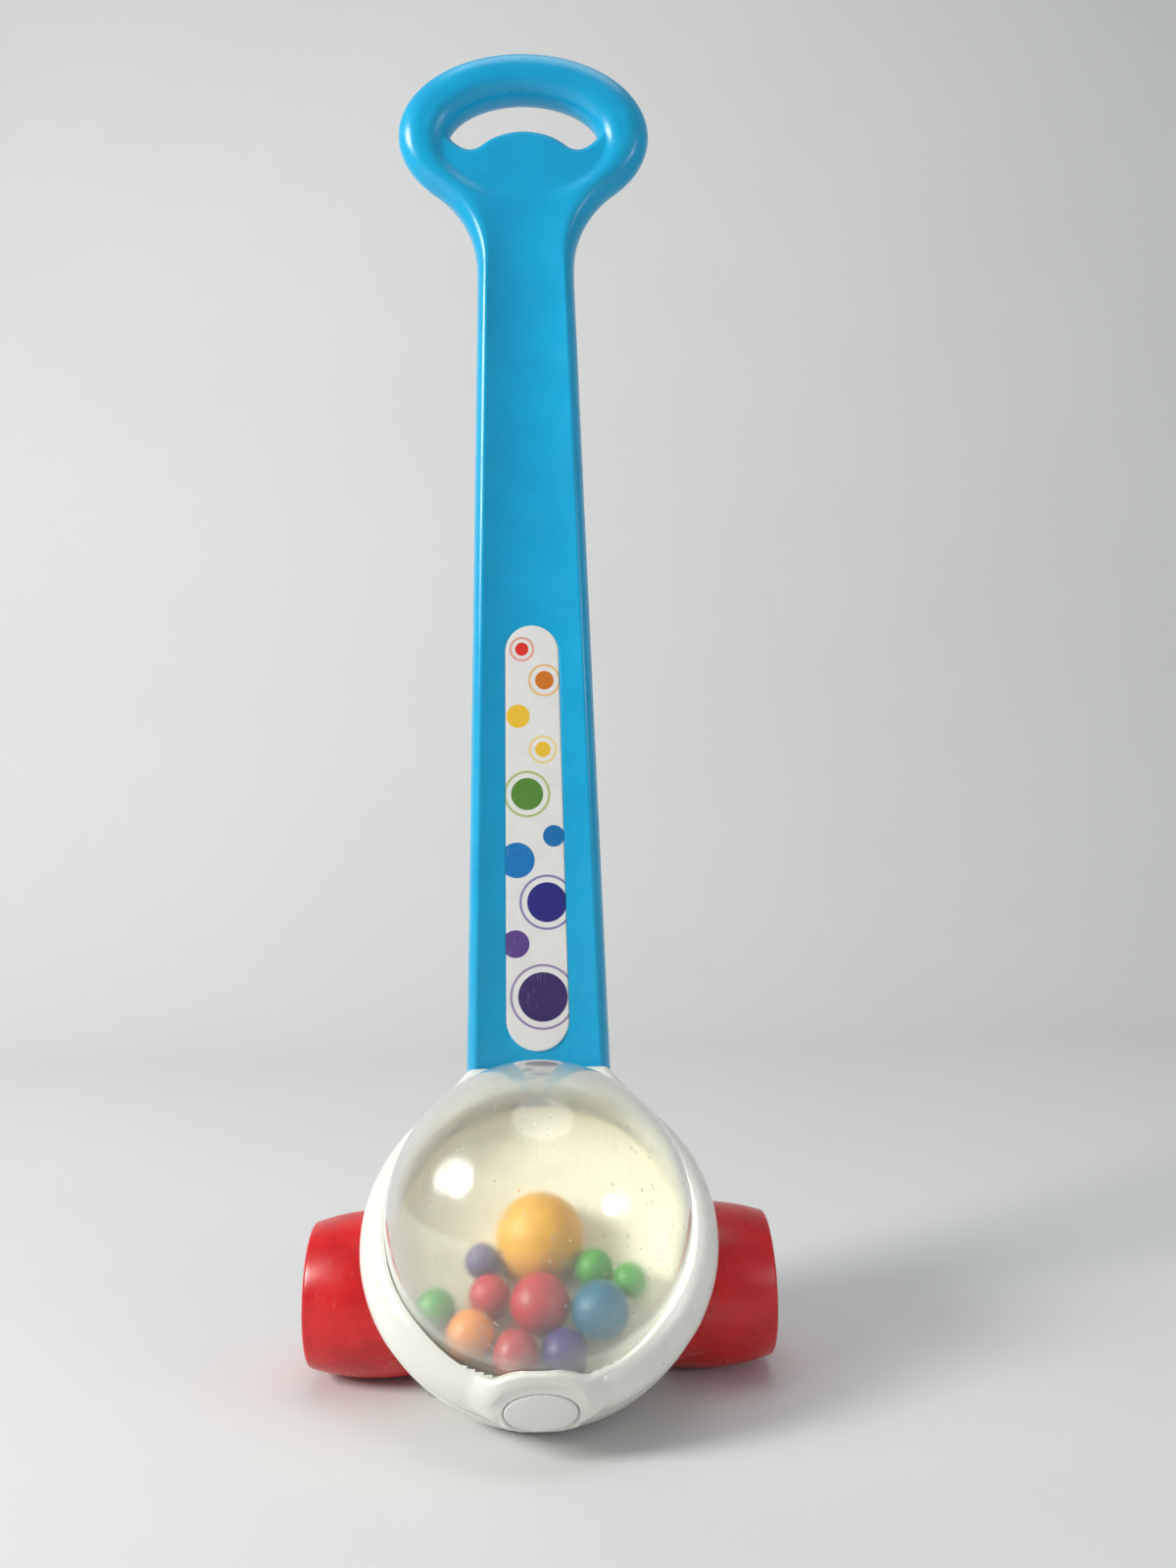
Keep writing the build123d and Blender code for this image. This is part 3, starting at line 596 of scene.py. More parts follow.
@dataclass(frozen=True)
class ClearShell:
    """Clear plastic that years of handling have made hazy, with a faint pattern of drops."""

    name: str
    tint: Color = (0.93, 0.94, 0.90)
    shade_share: float = 0.93
    haze: float = 0.03
    edge_haze: float = 0.34
    most_haze: float = 0.95
    cloud_haze: float = 0.03
    scratch_haze: float = 0.08
    drop_haze: float = 0.3
    drop_mm: float = 4.6
    scratches: tuple[tuple[float, ...], ...] = ((0.3, 12.0, 24.0, 0.64), (0.26, 7.0, -49.0, 0.65))

    def make(self) -> bpy.types.Material:
        """Build the material."""
        n = Nodes(self.name)
        facing = n.add("LayerWeight", {"Blend": 0.42}).outputs["Facing"]
        rim = n.spread(facing, (0.35, 1.0))
        cloud = n.patches(24.0, 4.0, (0.35, 0.7))
        marks = n.crossed(*self.scratches)
        spots = n.cells(self.drop_mm)
        wet = n.patches(15.0, 2.0, (0.5, 0.58))
        drops = n.times(n.spread(spots, (0.13, 0.09)), wet)
        rims = n.times(n.spread(spots, (0.16, 0.12)), n.spread(spots, (0.07, 0.11)))
        rims = n.times(rims, wet)
        haze = n.plus(self.haze, n.times(rim, self.edge_haze - self.haze))
        for mask, share in (
            (cloud, self.cloud_haze), (marks, self.scratch_haze), (rims, self.drop_haze)
        ):
            haze = n.plus(haze, n.times(mask, share))
        haze = n.math("MINIMUM", haze, self.most_haze)
        color = n.mix(cloud, self.tint, dimmed(self.tint, self.shade_share))
        rough = n.patches(10.0, 3.0, (0.3, 0.7), (0.10, 0.16))
        bump = n.bump(n.noise(30.0, 1.0), 0.3, 0.1)
        bump = n.bump(drops, 0.7, 0.2, bump)
        bump = n.bump(marks, 0.4, -0.005, bump)
        through = n.math("SUBTRACT", 1.0, haze)
        n.set(Base_Color=color, Roughness=rough, Normal=bump, IOR=1.42)
        n.set(Transmission_Weight=through, Coat_Weight=0.7, Coat_Roughness=0.06)
        clear = n.add("BsdfTransparent")
        shadow = n.add("LightPath").outputs["Is Shadow Ray"]
        mixed = n.add(
            "MixShader",
            {0: n.times(shadow, through), 1: n.shader.outputs[0], 2: clear.outputs[0]},
        )
        n.tree.links.new(mixed.outputs[0], n.output.inputs["Surface"])
        return n.material


@dataclass(frozen=True)
class Dot:
    """One printed dot, with an optional thin ring round it, in mm from the axle."""

    x: float
    z: float
    radius: float
    color: Color
    ring: float = 0.0
    ring_color: Color = (0.8, 0.6, 0.4)


@dataclass(frozen=True)
class DotPrint:
    """White label with a plain print of dots that grow downward."""

    name: str
    paper: Color = (0.80, 0.79, 0.76)
    paper_share: float = 0.95
    edge_mm: float = 0.12
    ring_mm: float = 0.55
    scratches: tuple[float, ...] = (0.3, 8.0, 67.0, 0.65)
    worn: Color = (0.75, 0.74, 0.72)
    worn_share: float = 0.35
    dots: tuple[Dot, ...] = (
        Dot(-4.6, 285.0, 3.1, (0.72, 0.022, 0.012), 5.2, (0.78, 0.36, 0.3)),
        Dot(5.6, 270.5, 4.3, (0.63, 0.17, 0.01), 7.0, (0.80, 0.50, 0.22)),
        Dot(-6.8, 254.0, 5.4, (0.86, 0.52, 0.03)),
        Dot(4.4, 238.5, 3.6, (0.86, 0.52, 0.03), 6.0, (0.84, 0.66, 0.26)),
        Dot(-3.2, 218.0, 7.4, (0.085, 0.24, 0.03), 10.2, (0.42, 0.50, 0.18)),
        Dot(8.8, 198.5, 5.0, (0.0, 0.15, 0.42)),
        Dot(-8.4, 187.5, 8.2, (0.0, 0.17, 0.48)),
        Dot(5.2, 168.0, 9.2, (0.012, 0.012, 0.20), 12.2, (0.22, 0.22, 0.42)),
        Dot(-9.6, 149.0, 6.4, (0.10, 0.045, 0.24)),
        Dot(2.6, 124.5, 11.4, (0.035, 0.014, 0.12), 14.6, (0.30, 0.22, 0.40)),
    )

    def make(self) -> bpy.types.Material:
        """Build the material."""
        n = Nodes(self.name)
        parts = n.add("SeparateXYZ", {0: n.place}).outputs
        fibre = n.patches(11.0, 3.0, (0.35, 0.7))
        color = n.mix(fibre, self.paper, dimmed(self.paper, self.paper_share))
        for dot in self.dots:
            across = n.math("SUBTRACT", parts[0], dot.x * MM)
            up = n.math("SUBTRACT", parts[2], (dot.z + AXLE_Z) * MM)
            flat = n.add("CombineXYZ", {0: across, 1: up}).outputs[0]
            away = n.add("VectorMath", {0: flat}, operation="LENGTH").outputs["Value"]
            color = n.mix(self.within(n, away, dot.radius), color, dot.color)
            if dot.ring:
                gap = n.math("ABSOLUTE", n.math("SUBTRACT", away, dot.ring * MM))
                color = n.mix(self.within(n, gap, self.ring_mm), color, dot.ring_color)
        marks = n.times(n.scratches(*self.scratches), self.worn_share)
        color = n.mix(marks, color, self.worn)
        rough = n.patches(8.0, 3.0, (0.3, 0.7), (0.28, 0.4))
        bump = n.bump(n.noise(5.0, 2.0), 0.5, 0.03)
        n.set(Base_Color=color, Roughness=rough, Normal=bump, IOR=1.48)
        n.set(Coat_Weight=0.3, Coat_Roughness=0.2)
        return n.material

    def within(self, n: Nodes, away: Socket, size_mm: float) -> Socket:
        """Give 1 where a distance is less than a size, with the print's soft edge."""
        return n.spread(away, ((size_mm + self.edge_mm) * MM, (size_mm - self.edge_mm) * MM))


@dataclass(frozen=True)
class WornRed:
    """Red wheel plastic with scuffs near its mouth and scratches all over."""

    name: str
    color: Color = (0.66, 0.009, 0.010)
    deep: Color = (0.50, 0.006, 0.010)
    rub: Color = (0.62, 0.16, 0.12)
    scuff_start: Span = (0.0535, 0.060)
    scuff_end: Span = (0.074, 0.066)
    scuff_mm: Spot = (6.0, 0.9, 0.9)
    scuff_share: float = 0.75
    scratches: tuple[tuple[float, ...], ...] = ((0.3, 9.0, 12.0, 0.63), (0.3, 6.0, 71.0, 0.65))
    scratch_share: float = 0.3
    wear_dull: float = 0.25

    def make(self) -> bpy.types.Material:
        """Build the material."""
        n = Nodes(self.name)
        color = n.mix(n.patches(20.0, 4.0, (0.35, 0.7)), self.color, self.deep)
        reach = n.math("ABSOLUTE", n.add("SeparateXYZ", {0: n.place}).outputs[0])
        near = n.times(n.spread(reach, self.scuff_start), n.spread(reach, self.scuff_end))
        scuff = n.times(near, n.spread(n.streaks(self.scuff_mm, 3.0), (0.52, 0.68)))
        scuff = n.times(scuff, n.patches(16.0, 2.0, (0.42, 0.6)))
        marks = n.times(n.crossed(*self.scratches), self.scratch_share)
        wear = n.math("MINIMUM", n.plus(n.times(scuff, self.scuff_share), marks), 1.0)
        color = n.mix(wear, color, self.rub)
        rough = n.patches(14.0, 3.0, (0.3, 0.7), (0.24, 0.36))
        rough = n.plus(rough, n.times(wear, self.wear_dull))
        bump = n.bump(n.noise(0.6, 2.0), 0.6, 0.012)
        bump = n.bump(n.noise(22.0, 1.0), 0.4, 0.05, bump)
        bump = n.bump(wear, 0.5, -0.03, bump)
        n.set(Base_Color=color, Roughness=rough, Normal=bump, IOR=1.5)
        return n.material


BALL_COLORS: dict[str, tuple[Color, Color]] = {
    "ball_rose": ((0.40, 0.03, 0.035), (0.36, 0.026, 0.03)),
    "ball_navy": ((0.035, 0.022, 0.15), (0.028, 0.017, 0.12)),
    "ball_red": ((0.42, 0.012, 0.016), (0.37, 0.010, 0.014)),
    "ball_blue": ((0.002, 0.14, 0.22), (0.002, 0.12, 0.20)),
    "ball_orange": ((0.70, 0.22, 0.015), (0.66, 0.20, 0.012)),
    "ball_green": ((0.04, 0.28, 0.02), (0.032, 0.25, 0.017)),
    "ball_purple": ((0.09, 0.07, 0.16), (0.075, 0.06, 0.14)),
}


class Finishes:
    """Every finish of the toy, made once and handed out by name."""

    def __init__(self) -> None:
        """Make the materials."""
        ball = {"roughness": 0.42, "mottle_mm": 9.0, "scratch_share": 0.15}
        finishes = [
            MouldedPlastic(
                "handle_blue", (0.0, 0.37, 0.65), (0.0, 0.34, 0.61), 0.28, scratch_share=0.06,
                scratch_depth=0.002, wave_depth=0.03,
            ),
            MouldedPlastic(
                "housing_white", (0.78, 0.79, 0.72), (0.75, 0.755, 0.68), 0.24,
                scratch_share=0.2, specks=0.6, glow=0.08,
            ),
            MouldedPlastic("badge_white", (0.74, 0.74, 0.70), (0.70, 0.70, 0.66), 0.16, coat=0.5),
            MouldedPlastic("floor_cream", (0.80, 0.77, 0.60), (0.76, 0.73, 0.55), 0.45),
            MouldedPlastic("mechanism", (0.70, 0.69, 0.63), (0.66, 0.65, 0.58), 0.4),
            MouldedPlastic(
                "popper_yellow", (0.70, 0.36, 0.015), (0.66, 0.32, 0.015), 0.5, scratch_share=0.1
            ),
            *(MouldedPlastic(name, *pair, **ball) for name, pair in BALL_COLORS.items()),
            Steel("axle_steel"),
            Steel("screw_steel", (0.5, 0.5, 0.5), 0.34, 0.15, 2),
            Steel("spring_steel", (0.6, 0.6, 0.6), 0.2, 0.12, 1),
            ClearShell("dome_clear"),
            DotPrint("label_print"),
            WornRed("wheel_red"),
        ]
        self.by_name = {finish.name: finish.make() for finish in finishes}

    def dress(self, piece: bpy.types.Object, name: str) -> None:
        """Give a piece one finish all over."""
        piece.data.materials.clear()
        piece.data.materials.append(self.by_name[name])

    def dress_nodes(self) -> None:
        """Give every node of the frame the finish of its own slot."""
        for part in frame["record"]["subparts"]:
            node = frame["nodes"][part["node"]]
            for slot in node.material_slots:
                slot.material = self.by_name[part["material_slot"]]


def settle(
    piece: bpy.types.Object, body: str, slot: str, finishes: Finishes, *nodes: str
) -> None:
    """Dress a finished piece, set it on its body and hide the nodes that it stands for.

    Args:
        piece: the piece.
        body: the body that it rides on.
        slot: the record's material slot, which is also the finish's name.
        finishes: the toy's finishes.
        nodes: nodes of the frame that it replaces.
    """
    finishes.dress(piece, slot)
    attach(piece, body)
    if nodes:
        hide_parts(*nodes)
    LOG.info("%s: %d faces on %s", piece.name, len(piece.data.polygons), body)


# ---------------------------------------------------------------- pieces


@dataclass
class Handle:
    """The flat blue handle: an oval ring on a tapered stem, with rails, channel and tongue."""

    middle: float = 30.0
    half_thick: float = 11.0
    base_height: float = 90.0
    top_height: float = 566.45
    base_half: float = 33.4
    neck_half: float = 22.8
    neck_height: float = 456.0
    stem_end: float = 20.0
    ring_half: float = 58.8
    ring_rise: float = 38.4
    flare: float = 45.0
    hole_half: float = 35.8
    hole_rise: float = 20.8
    hole_height: float = 523.7
    split_height: float = 500.0
    channel: float = 1.8
    hollow: float = 3.0
    rail: float = 4.6
    stem_round: float = 5.2
    ring_round: float = 11.4
    hole_round: float = 9.5
    tongue_front: float = 7.7
    tongue_back: float = 1.0
    tongue_round: float = 3.2
    tongue_reach: Span = (7.0, 13.0)
    label_low: float = 99.2
    label_high: float = 296.4
    label_low_half: float = 14.9
    label_high_half: float = 12.7
    recess: float = 1.0
    label_gap: float = 0.5
    label_rings: tuple[Point, ...] = (
        (0.0, 0.0), (0.0, 0.36), (0.06, 0.46), (0.2, 0.5), (1.2, 0.5),
    )
    label_clear: float = 1.6
    label_steps: tuple[float, ...] = (-1.2, -0.9, -0.72, -0.55, -0.38, -0.2, 0.0, 0.25, 0.6)
    row_marks: tuple[float, ...] = (98.0, 116.0, 281.0, 298.0)
    row_steps: tuple[float, ...] = (1.4, 0.5, 1.6, 0.5, 1.5)
    round_rise: Span = (452.0, 512.0)
    hole_reach: float = 18.0
    hole_slope: float = 4.0
    hollow_half: float = 27.0
    hollow_end: Span = (506.0, 532.0)
    recess_edge: Span = (-0.75, 0.25)
    tongue_drop: float = 24.0
    tongue_slope: float = 3.0
    tongue_soft: Span = (1.3, 1.2)
    tongue_clear: float = 9.0
    tongue_clear_drop: float = 30.0
    tongue_steps: int = 8
    tongue_low: int = 8
    tongue_edge: tuple[Point, ...] = (
        (0.0, 528.6), (4.0, 528.38), (8.0, 527.7), (12.0, 526.5), (15.5, 524.95), (18.5, 523.1),
        (21.0, 521.35), (23.0, 520.5), (25.0, 520.2), (27.0, 520.4), (29.5, 521.4), (32.0, 523.1),
        (34.0, 525.0), (35.3, 527.2),
    )
    ring_height: float = field(init=False)
    half_widths: tuple[np.ndarray, np.ndarray] = field(init=False)
    outline: np.ndarray = field(init=False)
    opening: np.ndarray = field(init=False)

    def __post_init__(self) -> None:
        """Work out the outlines that the surface follows."""
        self.ring_height = self.top_height - self.ring_rise
        self.outline = self.right_outline()
        low = self.outline[self.outline[:, 1] < self.ring_height - self.stem_end]
        self.half_widths = (low[:, 1], low[:, 0])
        self.opening = self.right_opening()

    def right_outline(self) -> np.ndarray:
        """Follow the right edge from the base up to the top of the ring.

        Returns:
            Rows of x and height.
        """
        reach = self.neck_half + self.flare
        halvings, flare_steps, ring_steps = 60, 60, 160

        def offset(angle: float) -> tuple[float, float, float, float]:
            """Give the ring's point at an angle and the centre of the flare beyond it."""
            x, z = self.ring_half * math.cos(angle), self.ring_rise * math.sin(angle)
            normal = np.array((math.cos(angle) / self.ring_half, math.sin(angle) / self.ring_rise))
            normal = normal / np.linalg.norm(normal)
            return x, z, x + self.flare * normal[0], z + self.flare * normal[1]

        low, high = -math.pi / 2, 0.0
        for _ in range(halvings):
            angle = (low + high) / 2
            low, high = (low, angle) if offset(angle)[2] > reach else (angle, high)
        x, z, cx, cz = offset(angle)
        center = (cx, cz + self.ring_height)
        end = math.degrees(math.atan2(z - cz, x - cx)) % 360
        points = [(self.base_half, self.base_height), (self.neck_half, self.neck_height)]
        points += arc_points(center, self.flare, 180.0, end, flare_steps)
        for turn in np.linspace(angle, math.pi / 2, ring_steps)[1:]:
            points.append(
                (self.ring_half * math.cos(turn),
                 self.ring_height + self.ring_rise * math.sin(turn))
            )
        return np.array(points)

    def right_opening(self) -> np.ndarray:
        """Follow the right edge of the opening from the tongue's peak up to its top.

        Returns:
            Rows of x and height.
        """
        oval_rows = 120
        low = [np.array(p) for p in self.tongue_edge]
        fine = []
        for i in range(len(low) - 1):
            a, b = low[i], low[i + 1]
            before = low[i - 1] if i else np.array((-low[1][0], low[1][1]))
            after = low[i + 2] if i + 2 < len(low) else 2 * b - a
            for t in np.linspace(0, 1, self.tongue_steps, endpoint=False):
                fine.append(
                    0.5 * (2 * a + (b - before) * t + (2 * before - 5 * a + 4 * b - after) * t * t
                           + (3 * a - before - 3 * b + after) * t ** 3)
                )
        first = math.asin((low[-1][1] - self.hole_height) / self.hole_rise)
        for turn in np.linspace(first, math.pi / 2, oval_rows):
            fine.append(np.array((
                self.hole_half * math.cos(turn), self.hole_height + self.hole_rise * math.sin(turn)
            )))
        return np.array(fine)

    @staticmethod
    def distance(points: np.ndarray, path: np.ndarray) -> np.ndarray:
        """Measure how far points lie from a path.

        Args:
            points: rows of x and height.
            path: rows of the path's corners.

        Returns:
            The distances.
        """
        batch = 4000
        starts = path[:-1]
        runs = path[1:] - starts
        lengths = np.maximum((runs ** 2).sum(axis=1), 1e-12)
        out = np.empty(len(points))
        for chunk in range(0, len(points), batch):
            part = points[chunk:chunk + batch]
            away = part[:, None, :] - starts[None]
            along = np.clip((away * runs[None]).sum(axis=2) / lengths[None], 0, 1)
            gap = away - along[..., None] * runs[None]
            out[chunk:chunk + batch] = np.sqrt((gap ** 2).sum(axis=2)).min(axis=1)
        return out

    def capsule(self, points: np.ndarray) -> np.ndarray:
        """Measure how far points lie from the outline of the label's recess.

        Args:
            points: rows of x and height.

        Returns:
            The distances, less than zero inside.
        """
        low, high = self.label_low_half, self.label_high_half
        foot = self.label_low + low
        rise = self.label_high - high - foot
        lean_share = (low - high) / rise
        level = math.sqrt(1 - lean_share ** 2)
        x, z = np.abs(points[:, 0]), points[:, 1] - foot
        along = -lean_share * x + level * z
        side = x * level + z * lean_share - low
        near = np.hypot(x, z) - low
        far = np.hypot(x, z - rise) - high
        return np.where(along < 0, near, np.where(along > level * rise, far, side))

    def oval_distance(self, points: np.ndarray) -> np.ndarray:
        """Measure roughly how far points lie from the whole oval of the hole.

        Args:
            points: rows of x and height.

        Returns:
            The distances, less than zero inside.
        """
        x, z = points[:, 0], points[:, 1] - self.hole_height
        size = np.hypot(x / self.hole_half, z / self.hole_rise)
        slope = np.hypot(x / self.hole_half ** 2, z / self.hole_rise ** 2)
        return (size - 1) * size / np.maximum(slope, TINY)

    def heights(self, points: np.ndarray) -> tuple[np.ndarray, np.ndarray]:
        """Work out the front and back of the handle over points of its outline.

        Args:
            points: rows of x and height.

        Returns:
            How far the front stands before the middle plane and the back behind it.
        """
        right = np.column_stack((np.abs(points[:, 0]), points[:, 1]))
        edge = self.distance(right, self.outline)
        hole = self.oval_distance(right)
        up = ramp(points[:, 1], *self.round_rise)
        rounding = self.stem_round + (self.ring_round - self.stem_round) * up
        body = quarter(edge / rounding)
        near_hole = points[:, 1] > self.split_height - self.hole_reach
        inner = np.where(near_hole, quarter(hole / self.hole_round), 1.0)
        reach = np.minimum(np.interp(points[:, 1], *self.half_widths), self.hollow_half)
        share = np.clip((edge - self.rail) / (reach - self.rail), 0.0, 1.0)
        fade = 1 - ramp(points[:, 1], *self.hollow_end)
        sink = self.hollow * (1 - (1 - share) ** 2) * fade
        bed = self.half_thick - self.channel - self.recess
        level = self.half_thick - sink
        recess = 1 - ramp(self.capsule(points), *self.recess_edge)
        front_body = (level * (1 - recess) + bed * recess) * body * inner
        back_body = self.half_thick * body * inner
        drop = np.where(near_hole, np.clip(-hole, 0, None) * self.hole_slope, 0.0)
        tongue_line = self.opening[: (len(self.tongue_edge) - 1) * self.tongue_steps + 1]
        inside = points[:, 1] < np.interp(right[:, 0], tongue_line[:, 0], tongue_line[:, 1])
        beyond = self.tongue_drop * ramp(hole, *self.tongue_reach)
        beyond = beyond + self.tongue_clear_drop * (edge < self.tongue_clear)
        gap = self.distance(right, tongue_line)
        fall = self.tongue_slope * gap
        middle = (self.tongue_front - self.tongue_back) / 2
        thick = (self.tongue_front + self.tongue_back) / 2
        rise = thick * quarter(gap / self.tongue_round)
        out = []
        for face, depth, soft in zip(
            (front_body, back_body), (middle, -middle), self.tongue_soft
        ):
            tongue = np.where(inside, depth + rise, depth - fall) - beyond
            out.append(np.where(near_hole, blend_up(face - drop, tongue, soft), face))
        return out[0], out[1]

    def columns(self, half: float, inner: float) -> np.ndarray:
        """Spread a row of the stem over its width, dense at the edges and the label's sides.

        Args:
            half: half width of the stem in this row.
            inner: half width of the label's recess in this row.

        Returns:
            Places across, from left to right.
        """
        flat_count, outer_count, even, crowd = 13, 26, 0.35, 1.3
        flat = np.linspace(0.0, 1.0, flat_count) * (inner - self.label_clear)
        step = inner + np.array(self.label_steps)
        rest = half - step[-1]
        turn = np.linspace(0.0, 1.0, outer_count + 1)[1:]
        crowded = np.sin(turn * math.pi / 2) ** crowd
        outer = step[-1] + rest * (even * turn + (1 - even) * crowded)
        outer[-1] = half
        right = np.concatenate((flat, step, outer))
        return np.concatenate((-right[:0:-1], right))

    def row_heights(self) -> np.ndarray:
        """Spread the stem's rows over its height, dense at the ends of the label.

        Returns:
            Their heights, from the base up to the split line.
        """
        edges = (self.base_height, *self.row_marks, self.split_height)
        rows = [
            np.arange(a, b - step / 2, (b - a) / round((b - a) / step))
            for a, b, step in zip(edges, edges[1:], self.row_steps)
        ]
        return np.append(np.concatenate(rows), self.split_height)

    def ring_lines(self, top: np.ndarray) -> list[np.ndarray]:
        """Follow the opening's edge and what lies outward of it, once round the ring.

        Args:
            top: places across the right half of the stem's last row.

        Returns:
            Rows of x and height along the opening and along the split line and the ring's edge.
        """
        high_count = 120
        lowest = self.tongue_low * self.tongue_steps
        above = self.outline[self.outline[:, 1] > self.split_height]
        above = np.vstack(((top[-1], self.split_height), above))
        shares = np.linspace(0.0, 1.0, high_count + 1)[1:]
        low_lines = (
            self.along(self.opening[: lowest + 1], top / top[-1]),
            np.column_stack((top, np.full(len(top), self.split_height))),
        )
        lines = []
        for low, high in zip(low_lines, (self.opening[lowest:], above)):
            line = np.vstack((low, self.along(high, shares)))
            lines.append(np.vstack((line, line[-2:0:-1] * np.array((-1.0, 1.0)))))
        return lines

    def sheet(
        self, points: np.ndarray, back: bool, edge_rows: np.ndarray | None = None
    ) -> np.ndarray:
        """Raise flat points to the handle's front or back.

        Args:
            points: rows of x and height.
            back: whether the back is wanted.
            edge_rows: which points lie on an edge that front and back share.

        Returns:
            The raised points in the frame.
        """
        front, rear = self.heights(points)
        depth = self.middle + rear if back else self.middle - front
        if edge_rows is not None:
            shared = (self.middle + rear + self.middle - front) / 2
            depth = np.where(edge_rows, shared, depth)
        return upright(np.column_stack((points[:, 0], depth, points[:, 1])))

    def build(self) -> bpy.types.Object:
        """Build the handle's shell.

        Returns:
            The new object.
        """
        run_count = 57
        rows = self.row_heights()
        half = np.interp(rows, self.outline[:, 1], self.outline[:, 0])
        foot = self.label_low + self.label_low_half
        head = self.label_high - self.label_high_half
        inner = np.interp(rows, (foot, head), (self.label_low_half, self.label_high_half))
        stem = [self.columns(h, i) for h, i in zip(half, inner)]
        width = len(stem[0])
        flat = np.array([(x, z) for xs, z in zip(stem, rows) for x in xs])
        points = [self.sheet(flat, False), self.sheet(flat, True)]
        cells = grid_faces(len(rows), width)
        shift = len(flat)
        faces = cells + shifted(cells, shift, turned=True)
        # ring: straight runs from the opening's edge out to the ring's edge or the split line
        top = stem[-1][width // 2:]
        inner_line, outer_line = self.ring_lines(top)
        runs = (1 - np.cos(np.linspace(0, math.pi, run_count))) / 2
        ring = np.vstack([inner_line * (1 - t) + outer_line * t for t in runs])
        around = len(inner_line)
        edge = np.zeros(len(ring), bool)
        edge[:around] = True
        outside = np.arange(around)
        is_edge = (outside >= len(top) - 1) & (outside <= around - len(top) + 1)
        edge[-around:] = is_edge
        points += [self.sheet(ring, False, edge), self.sheet(ring, True, edge)]
        cells = grid_faces(len(runs), around, closed=True)
        faces += shifted(cells, 2 * shift) + shifted(cells, 2 * shift + len(ring), turned=True)
        # foot: close the stem's open end
        bottom = list(range(width)) + [shift + i for i in reversed(range(width))][1:-1]
        faces.append(tuple(reversed(bottom)))
        made = new_mesh("handle_shell", np.vstack(points), faces)
        weld(made, reach=2e-5, crease=50.0)
        return made

    @staticmethod
    def along(path: np.ndarray, shares: np.ndarray) -> np.ndarray:
        """Find the points at shares of a path's length.

        Args:
            path: rows of the path's corners.
            shares: shares of its length, from 0 to 1.

        Returns:
            One row of x and height for each share.
        """
        lengths = np.concatenate(([0.0], np.cumsum(np.linalg.norm(np.diff(path, axis=0), axis=1))))
        where = np.asarray(shares) * lengths[-1]
        return np.column_stack([np.interp(where, lengths, path[:, k]) for k in (0, 1)])

    def build_label(self) -> bpy.types.Object:
        """Build the thin label in its recess.

        Returns:
            The new object.
        """
        foot = self.label_low + self.label_low_half
        head = self.label_high - self.label_high_half
        low, high = self.label_low_half - self.label_gap, self.label_high_half - self.label_gap
        tilt = math.degrees(math.asin((low - high) / (head - foot)))
        high_steps, low_steps = 40, 48
        rim = arc_points((0, head), high, tilt, 180 - tilt, high_steps)
        rim = np.array(rim + arc_points((0, foot), low, 180 - tilt, 360 + tilt, low_steps))
        inward = -self.outward(rim)
        floor = self.middle - self.half_thick + self.channel + self.recess
        points = [
            (x, floor - rise, z)
            for inset, rise in self.label_rings for x, z in rim + inward * inset
        ]
        faces = grid_faces(len(self.label_rings), len(rim), closed=True)
        faces.append(tuple(range(len(points) - len(rim), len(points))))
        faces.append(tuple(reversed(range(len(rim)))))
        made = new_mesh("handle_print", upright(np.array(points)), faces)
        weld(made, crease=40.0)
        return made

    @staticmethod
    def outward(path: np.ndarray) -> np.ndarray:
        """Find which way is out of a closed path that turns to the left.

        Args:
            path: rows of the path's corners.

        Returns:
            One unit normal for each corner.
        """
        run = np.roll(path, -1, axis=0) - np.roll(path, 1, axis=0)
        normal = np.column_stack((run[:, 1], -run[:, 0]))
        return normal / np.linalg.norm(normal, axis=1)[:, None]


